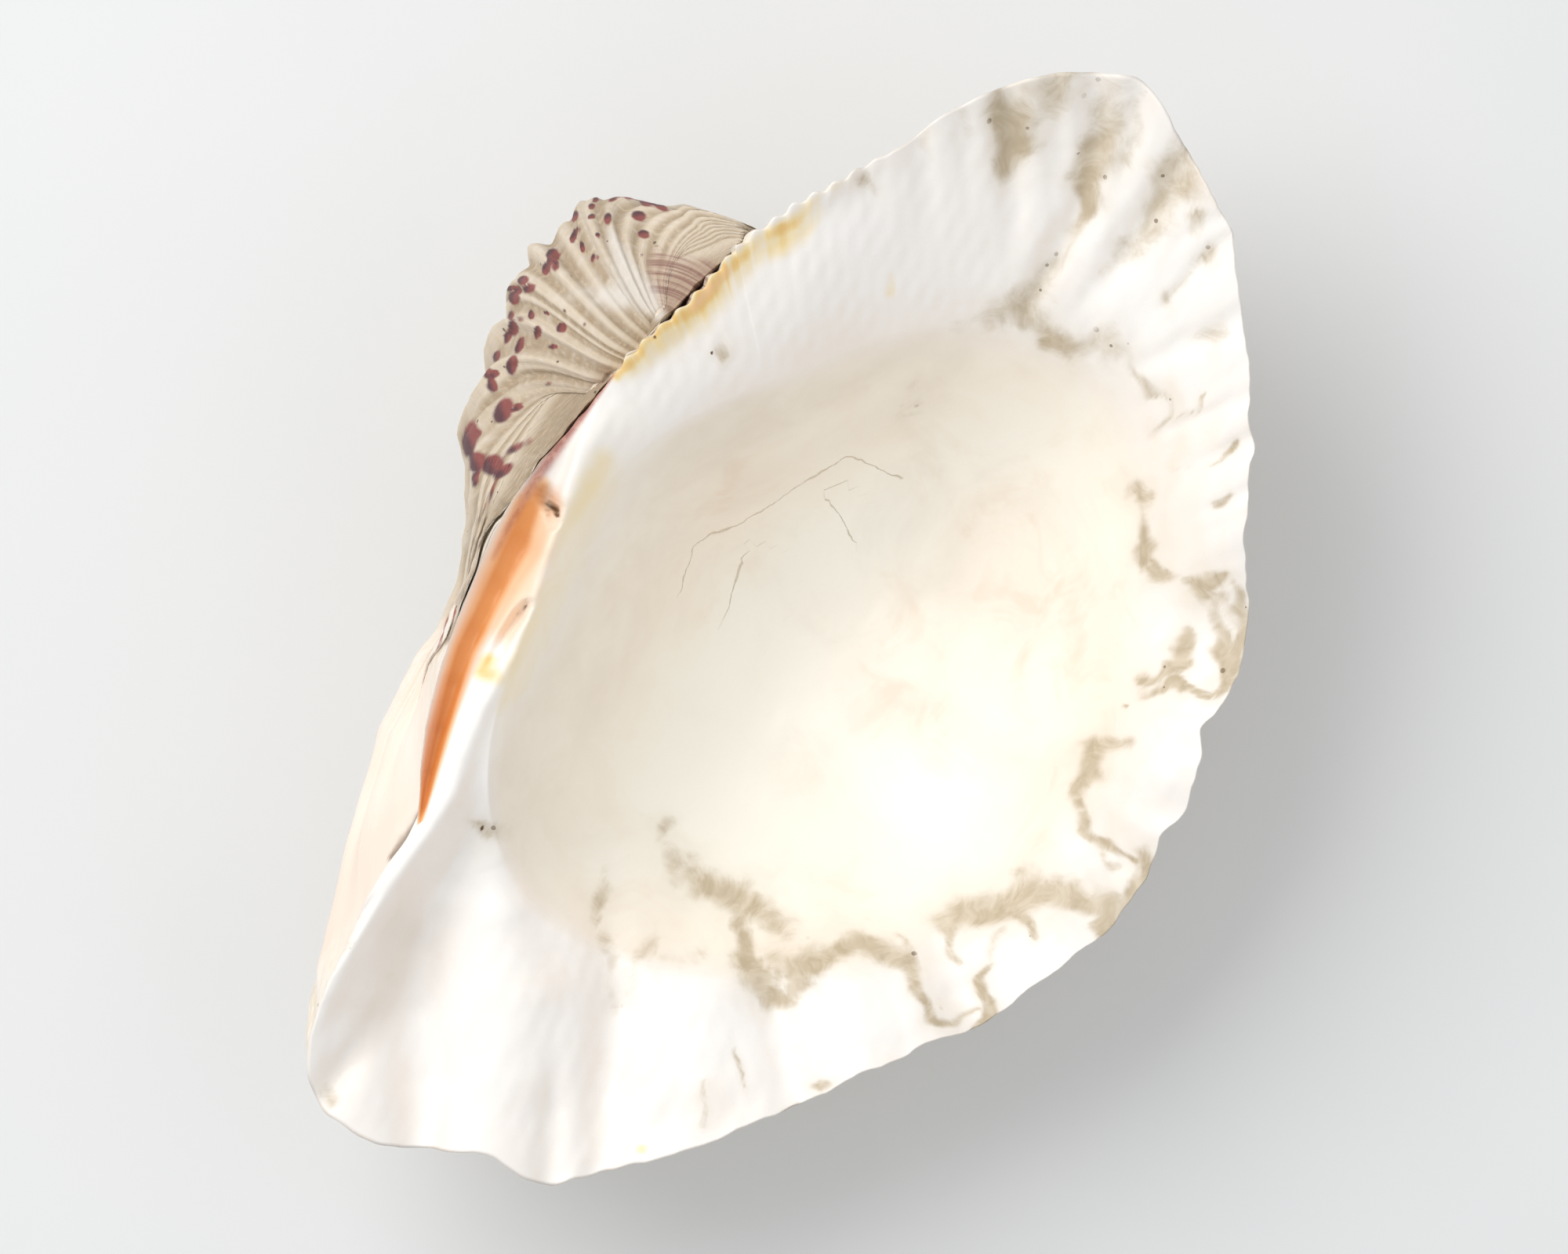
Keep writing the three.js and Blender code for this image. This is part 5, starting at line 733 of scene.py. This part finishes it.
def mix(f, a, b, mode='MIX'):
    n = node("ShaderNodeMix", data_type='RGBA', blend_type=mode)
    n.clamp_factor = True
    put(n.inputs[0], f); put(n.inputs[6], a); put(n.inputs[7], b)
    return n.outputs[2]


def get(name):
    a = node("ShaderNodeAttribute", attribute_name=name); s = node("ShaderNodeSeparateXYZ")
    nt.links.new(a.outputs['Vector'], s.inputs[0])
    return s.outputs


tc = node("ShaderNodeTexCoord").outputs['Object']


def noise(scale, detail=3.0, rough=0.55, vec=None, dist=0.0, dims='3D'):
    n = node("ShaderNodeTexNoise", noise_dimensions=dims)
    nt.links.new(tc if vec is None else vec, n.inputs['Vector'])
    n.inputs['Scale'].default_value = scale; n.inputs['Detail'].default_value = detail; n.inputs['Roughness'].default_value = rough; n.inputs['Distortion'].default_value = dist
    return n.outputs['Fac']


def combine(a, b, c):
    n = node("ShaderNodeCombineXYZ"); put(n.inputs[0], a); put(n.inputs[1], b); put(n.inputs[2], c)
    return n.outputs[0]


sS, sP, sB = get("m_stain"); hO, hY, hR = get("m_hinge"); pP, p_shade, pL = get("m_pits"); cD, cW, oM = get("m_crack")
uS, uW, uT = get("m_umbo"); bB, bR, b_dirt_shadow = get("m_out"); gG, gU, gF = get("m_grow"); lL, lT, lTop = get("m_lam")

n_big = noise(28, 2.0, 0.5); n_mid = noise(110, 3.0, 0.6, dist=0.6); n_fine = noise(420, 3.0, 0.65); n_dust = noise(1500, 1.0, 0.6)
n_sw = noise(170, 3.0, 0.62, dist=1.6); n_cl = noise(46, 4.0, 0.60, dist=0.9)

tsep = node("ShaderNodeSeparateXYZ"); nt.links.new(tc, tsep.inputs[0])
vm = node("ShaderNodeVectorMath", operation='SUBTRACT'); nt.links.new(tc, vm.inputs[0]); vm.inputs[1].default_value = (0.02043, 0.0406, 0.0)
vs = node("ShaderNodeSeparateXYZ"); nt.links.new(vm.outputs[0], vs.inputs[0])
rB = math_('SQRT', add(mul(vs.outputs[0], vs.outputs[0]), mul(vs.outputs[1], vs.outputs[1])))
# inside: chalk-white rim, warmer bowl, faint clouds
c_rim = mix(ss(0.35, 0.75, n_big), lin(255, 252, 248), lin(252, 246, 239))
c_bowl = mix(ss(0.40, 0.66, n_big), lin(255, 252, 241), lin(255, 246, 232))
c_in = mix(mul(sB, 0.95), c_rim, c_bowl)
cloud = mul(ss(0.50, 0.72, n_mid), ss(0.42, 0.66, n_big))
c_in = mix(mul(cloud, add(0.16, mul(sB, 0.40))), c_in, lin(242, 222, 200))
c_in = mix(mul(mul(ss(0.46, 0.70, n_cl), sB), 0.24), c_in, lin(230, 218, 202))
# peach tint: real peach marks plus painted warm bounce light on steep walls
c_in = mix(mul(ss(0.10, 1.0, add(sP, mul(sub(n_mid, 0.5), 0.30))), 0.60), c_in, lin(247, 222, 196))
# painted shade: grey-beige under the brink of the bowl and in the back channel
c_in = mix(mul(p_shade, add(0.28, mul(n_mid, 0.55))), c_in, lin(216, 203, 188))
c_in = mix(mul(pL, 0.7), c_in, lin(255, 249, 238))
# yellow and orange of the hinge and of the lunule teeth
n_str = noise(1.0, 2.0, 0.5, vec=combine(mul(gU, 0.62), mul(rB, 20.0), 2.0))
on_l = ss(0.006, 0.014, tsep.outputs[0])
hY2 = mul(hY, add(sub(1.0, on_l), mul(on_l, add(0.42, mul(n_str, 1.15)))))
c_in = mix(ss(0.16, 0.95, add(hY2, mul(sub(n_mid, 0.5), 0.26))), c_in, lin(252, 226, 158))
c_in = mix(mul(ss(0.60, 1.05, hY2), 0.7), c_in, lin(240, 188, 108))
c_in = mix(ss(0.10, 0.50, add(hO, mul(sub(n_mid, 0.5), 0.10))), c_in, lin(251, 208, 164))
c_in = mix(ss(0.42, 0.80, add(hO, mul(sub(n_mid, 0.5), 0.12))), c_in, lin(236, 160, 92))
# brown dirt in the channels, with swirled edges
s_n = add(sS, add(mul(sub(n_cl, 0.5), 0.55), add(mul(sub(n_sw, 0.5), 0.42), mul(sub(n_fine, 0.5), 0.24))))
s_m = mul(ss(0.16, 0.82, s_n), ss(0.03, 0.34, sS))
c_st = mix(ss(0.30, 0.70, n_sw), lin(211, 196, 170), lin(180, 161, 127))
c_in = mix(mul(ss(0.05, 0.85, add(lL, mul(sub(n_mid, 0.5), 0.6))), 0.50), c_in, lin(238, 229, 214))
c_in = mix(mul(s_m, 0.84), c_in, c_st)
c_in = mix(mul(ss(0.92, 1.35, s_n), 0.50), c_in, lin(150, 128, 92))
# specks
vor = node("ShaderNodeTexVoronoi", feature='F1'); nt.links.new(tc, vor.inputs['Vector']); vor.inputs['Scale'].default_value = 620
vsep = node("ShaderNodeSeparateXYZ"); nt.links.new(vor.outputs['Color'], vsep.inputs[0])
speck = mul(math_('LESS_THAN', vor.outputs['Distance'], mul(0.30, vsep.outputs[0])), math_('GREATER_THAN', vsep.outputs[1], 0.90))
c_in = mix(mul(speck, mul(ss(0.10, 0.6, sS), 0.75)), c_in, lin(112, 90, 60))
# the fine crack in the bowl
cr_w = add(0.06, mul(ss(0.42, 0.68, n_mid), 0.24))
cr = mul(sub(1.0, ss(0.0, cr_w, math_('ABSOLUTE', add(cD, mul(sub(n_fine, 0.5), 0.9))))), cW)
c_in = mix(mul(cr, 0.6), c_in, lin(200, 180, 142))
c_in = mix(ss(0.12, 0.85, hR), c_in, mix(ss(0.4, 0.6, n_fine), lin(176, 96, 84), lin(214, 150, 130)))
c_in = mix(ss(0.35, 0.9, pP), c_in, lin(96, 70, 42))

# outside: beige with paler ribs, threads and growth lines
vec_g = combine(mul(gU, 0.05), mul(gG, 6.0), 0.0)
n_g = noise(3.0, 3.0, 0.6, vec=vec_g); n_t = noise(1.0, 3.0, 0.6, vec=combine(mul(gU, 1.1), mul(gG, 1.6), 3.0))
lines = noise(1.0, 2.0, 0.5, vec=combine(mul(gU, 0.10), mul(gG, 70.0), 9.0))
c_out = mix(ss(0.05, 0.90, bR), lin(170, 149, 122), lin(216, 201, 180))
c_out = mix(mul(ss(0.50, 0.74, n_mid), 0.40), c_out, lin(228, 218, 202))
c_out = mix(mul(ss(0.46, 0.68, n_t), 0.30), c_out, lin(190, 170, 140))
c_out = mix(mul(ss(0.50, 0.68, n_g), 0.35), c_out, lin(226, 204, 168))
c_out = mix(mul(ss(0.55, 0.72, lines), 0.26), c_out, lin(178, 160, 134))
c_out = mix(mul(lL, 0.25), c_out, lin(244, 238, 230))
c_low = mix(ss(0.35, 0.70, n_g), lin(246, 240, 230), lin(236, 220, 194))
c_low = mix(mul(ss(0.50, 0.66, n_t), 0.35), c_low, lin(214, 190, 154))
c_low = mix(mul(ss(0.60, 0.76, lines), 0.35), c_low, lin(198, 176, 146))
c_out = mix(sub(1.0, ss(0.0, 1.0, lTop)), c_out, c_low)
# smooth peach slope behind the umbo
c_out = mix(ss(0.05, 1.0, add(gF, mul(mul(sub(n_mid, 0.5), 0.5), ss(0.02, 0.3, gF)))), c_out, mix(ss(0.35, 0.65, n_big), lin(253, 245, 235), lin(245, 229, 213)))
# lunule: brown growth stripes
lineb = noise(1.0, 2.0, 0.55, vec=combine(mul(rB, 2200.0), mul(vs.outputs[0], 60.0), mul(vs.outputs[1], 60.0)))
strp = mul(ss(0.43, 0.60, lineb), ss(0.20, 0.70, uT))
c_out = mix(mul(ss(0.1, 0.7, uT), 0.55), c_out, lin(188, 160, 142))
c_out = mix(mul(strp, 0.8), c_out, lin(140, 102, 90))
# worn, pricked wedge
c_out = mix(mul(ss(0.10, 0.95, add(uW, mul(sub(n_mid, 0.5), 0.6))), 0.72), c_out, lin(234, 229, 221))
# purple spots and blotches
sp_n = add(uS, mul(sub(n_fine, 0.5), 0.30))
c_mar = mix(ss(0.25, 0.85, add(lT, mul(sub(n_mid, 0.5), 0.4))), lin(138, 66, 64), lin(80, 38, 52))
c_out = mix(mul(ss(0.20, 0.62, sp_n), 0.95), c_out, c_mar)
bl_n = add(bB, mul(sub(n_fine, 0.5), 0.5))
c_out = mix(mul(ss(0.28, 0.60, bl_n), 0.88), c_out, mix(ss(0.35, 0.65, n_mid), lin(138, 62, 66), lin(176, 96, 88)))
vor2 = node("ShaderNodeTexVoronoi", feature='F1'); nt.links.new(tc, vor2.inputs['Vector']); vor2.inputs['Scale'].default_value = 560
v2 = node("ShaderNodeSeparateXYZ"); nt.links.new(vor2.outputs['Color'], v2.inputs[0])
pin = mul(mul(math_('LESS_THAN', vor2.outputs['Distance'], mul(0.20, v2.outputs[0])), math_('GREATER_THAN', v2.outputs[1], 0.84)), sub(1.0, ss(0.05, 0.3, gF)))
c_out = mix(mul(pin, 0.8), c_out, lin(84, 72, 58))
c_out = mix(ss(0.12, 0.85, hR), c_out, mix(ss(0.4, 0.6, n_fine), lin(170, 92, 80), lin(206, 140, 120)))
# dark brown: real dirt specks plus the painted shadow along the seam under the hinge lip
c_out = mix(mul(ss(0.15, 0.8, add(b_dirt_shadow, mul(sub(n_fine, 0.5), 0.4))), 0.85), c_out, lin(128, 104, 82))
c_out = mix(ss(0.16, 0.95, hY), c_out, lin(248, 220, 150))
so = mul(ss(0.28, 0.62, s_n), ss(0.05, 0.30, sS))
c_out = mix(mul(so, 0.8), c_out, c_st)

col = mix(oM, c_in, c_out)
col = mix(mul(sub(n_dust, 0.5), 0.10), col, lin(214, 204, 190))

bsdf = node("ShaderNodeBsdfPrincipled"); outp = node("ShaderNodeOutputMaterial")
nt.links.new(bsdf.outputs[0], outp.inputs[0]); nt.links.new(col, bsdf.inputs['Base Color'])
ro = add(mul(oM, 0.26), add(0.40, mul(sub(n_mid, 0.5), 0.14)))
ro = add(ro, mul(s_m, 0.20))
nt.links.new(ro, bsdf.inputs['Roughness'])
# fine surface: threads and growth lines outside, faint pits inside
h_out = add(add(mul(n_t, 0.5), mul(lines, 0.35)), mul(n_fine, 0.25))
h_in = add(mul(n_fine, 0.20), add(mul(s_m, -0.35), mul(cr, -0.8)))
h = add(mul(oM, h_out), mul(sub(1.0, oM), h_in))
h = sub(h, mul(pin, mul(oM, 0.9)))
bump = node("ShaderNodeBump"); bump.inputs['Strength'].default_value = 0.55; bump.inputs['Distance'].default_value = 0.00035
nt.links.new(h, bump.inputs['Height']); nt.links.new(bump.outputs[0], bsdf.inputs['Normal'])
me.materials.append(mat)

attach(valve, "root"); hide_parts("valve")

# ------------------------------------------------------------------ floor, light, camera
fl = bpy.data.meshes.new("floor"); h_ = 3.0
fl.from_pydata([(-h_, -h_, 0), (h_, -h_, 0), (h_, h_, 0), (-h_, h_, 0)], [], [(0, 1, 2, 3)])
floor = bpy.data.objects.new("floor", fl); bpy.context.scene.collection.objects.link(floor)
fm = bpy.data.materials.new("pale_floor"); fm.use_nodes = True
fb = fm.node_tree.nodes["Principled BSDF"]; fb.inputs['Roughness'].default_value = 0.55
ft = fm.node_tree.nodes.new("ShaderNodeTexCoord"); fn = fm.node_tree.nodes.new("ShaderNodeTexNoise"); fn.inputs['Scale'].default_value = 14.0; fn.inputs['Detail'].default_value = 2.0
fr_ = fm.node_tree.nodes.new("ShaderNodeMix"); fr_.data_type = 'RGBA'; fr_.inputs[6].default_value = lin(227, 229, 230); fr_.inputs[7].default_value = lin(232, 233, 233)
fm.node_tree.links.new(ft.outputs['Object'], fn.inputs['Vector']); fm.node_tree.links.new(fn.outputs['Fac'], fr_.inputs[0]); fm.node_tree.links.new(fr_.outputs[2], fb.inputs['Base Color'])
fl.materials.append(fm)

sc = bpy.context.scene
world = bpy.data.worlds.new("studio"); sc.world = world; world.use_nodes = True
bg = world.node_tree.nodes["Background"]; bg.inputs[0].default_value = (0.975, 0.985, 1.0, 1); bg.inputs[1].default_value = 0.62

up = Vector((0.7705, 0.6374, 0)); right = Vector((0.6374, -0.7705, 0))


def area(name, pos, target, size, power, colour=(1, 1, 1)):
    l = bpy.data.lights.new(name, 'AREA'); l.shape = 'SQUARE'; l.size = size; l.energy = power; l.color = colour
    o = bpy.data.objects.new(name, l); o.location = pos; o.rotation_mode = 'QUATERNION'
    o.rotation_quaternion = (Vector(target) - Vector(pos)).to_track_quat('-Z', 'Y')
    o.visible_camera = False; sc.collection.objects.link(o)
    return o


key = right * -0.64 + up * 0.54; key.z = 1.02
area("key", key, (0, 0, 0.03), 0.90, 10.2, (1.0, 0.985, 0.965))
fill = right * 0.9 + up * -0.3; fill.z = 1.1
area("fill", fill, (0, 0, 0.03), 1.0, 1.6, (1.0, 0.99, 0.98))

cam = bpy.data.cameras.new("camera"); camo = bpy.data.objects.new("camera", cam); sc.collection.objects.link(camo)
D = 2.5; cam.sensor_width = 36.0; cam.lens = 36.0 * D / 0.224; cam.clip_start = 0.05; cam.clip_end = 20.0; cam.dof.use_dof = False
c0 = Vector((0.00153, 0.0007, 0.050 + D))
camo.matrix_world = Matrix(((right.x, up.x, 0, c0.x), (right.y, up.y, 0, c0.y), (0, 0, 1, c0.z), (0, 0, 0, 1)))
sc.camera = camo
sc.view_settings.view_transform = 'Standard'; sc.view_settings.look = 'None'; sc.view_settings.exposure = 0.0; sc.view_settings.gamma = 1.0

bpy.context.view_layer.update()
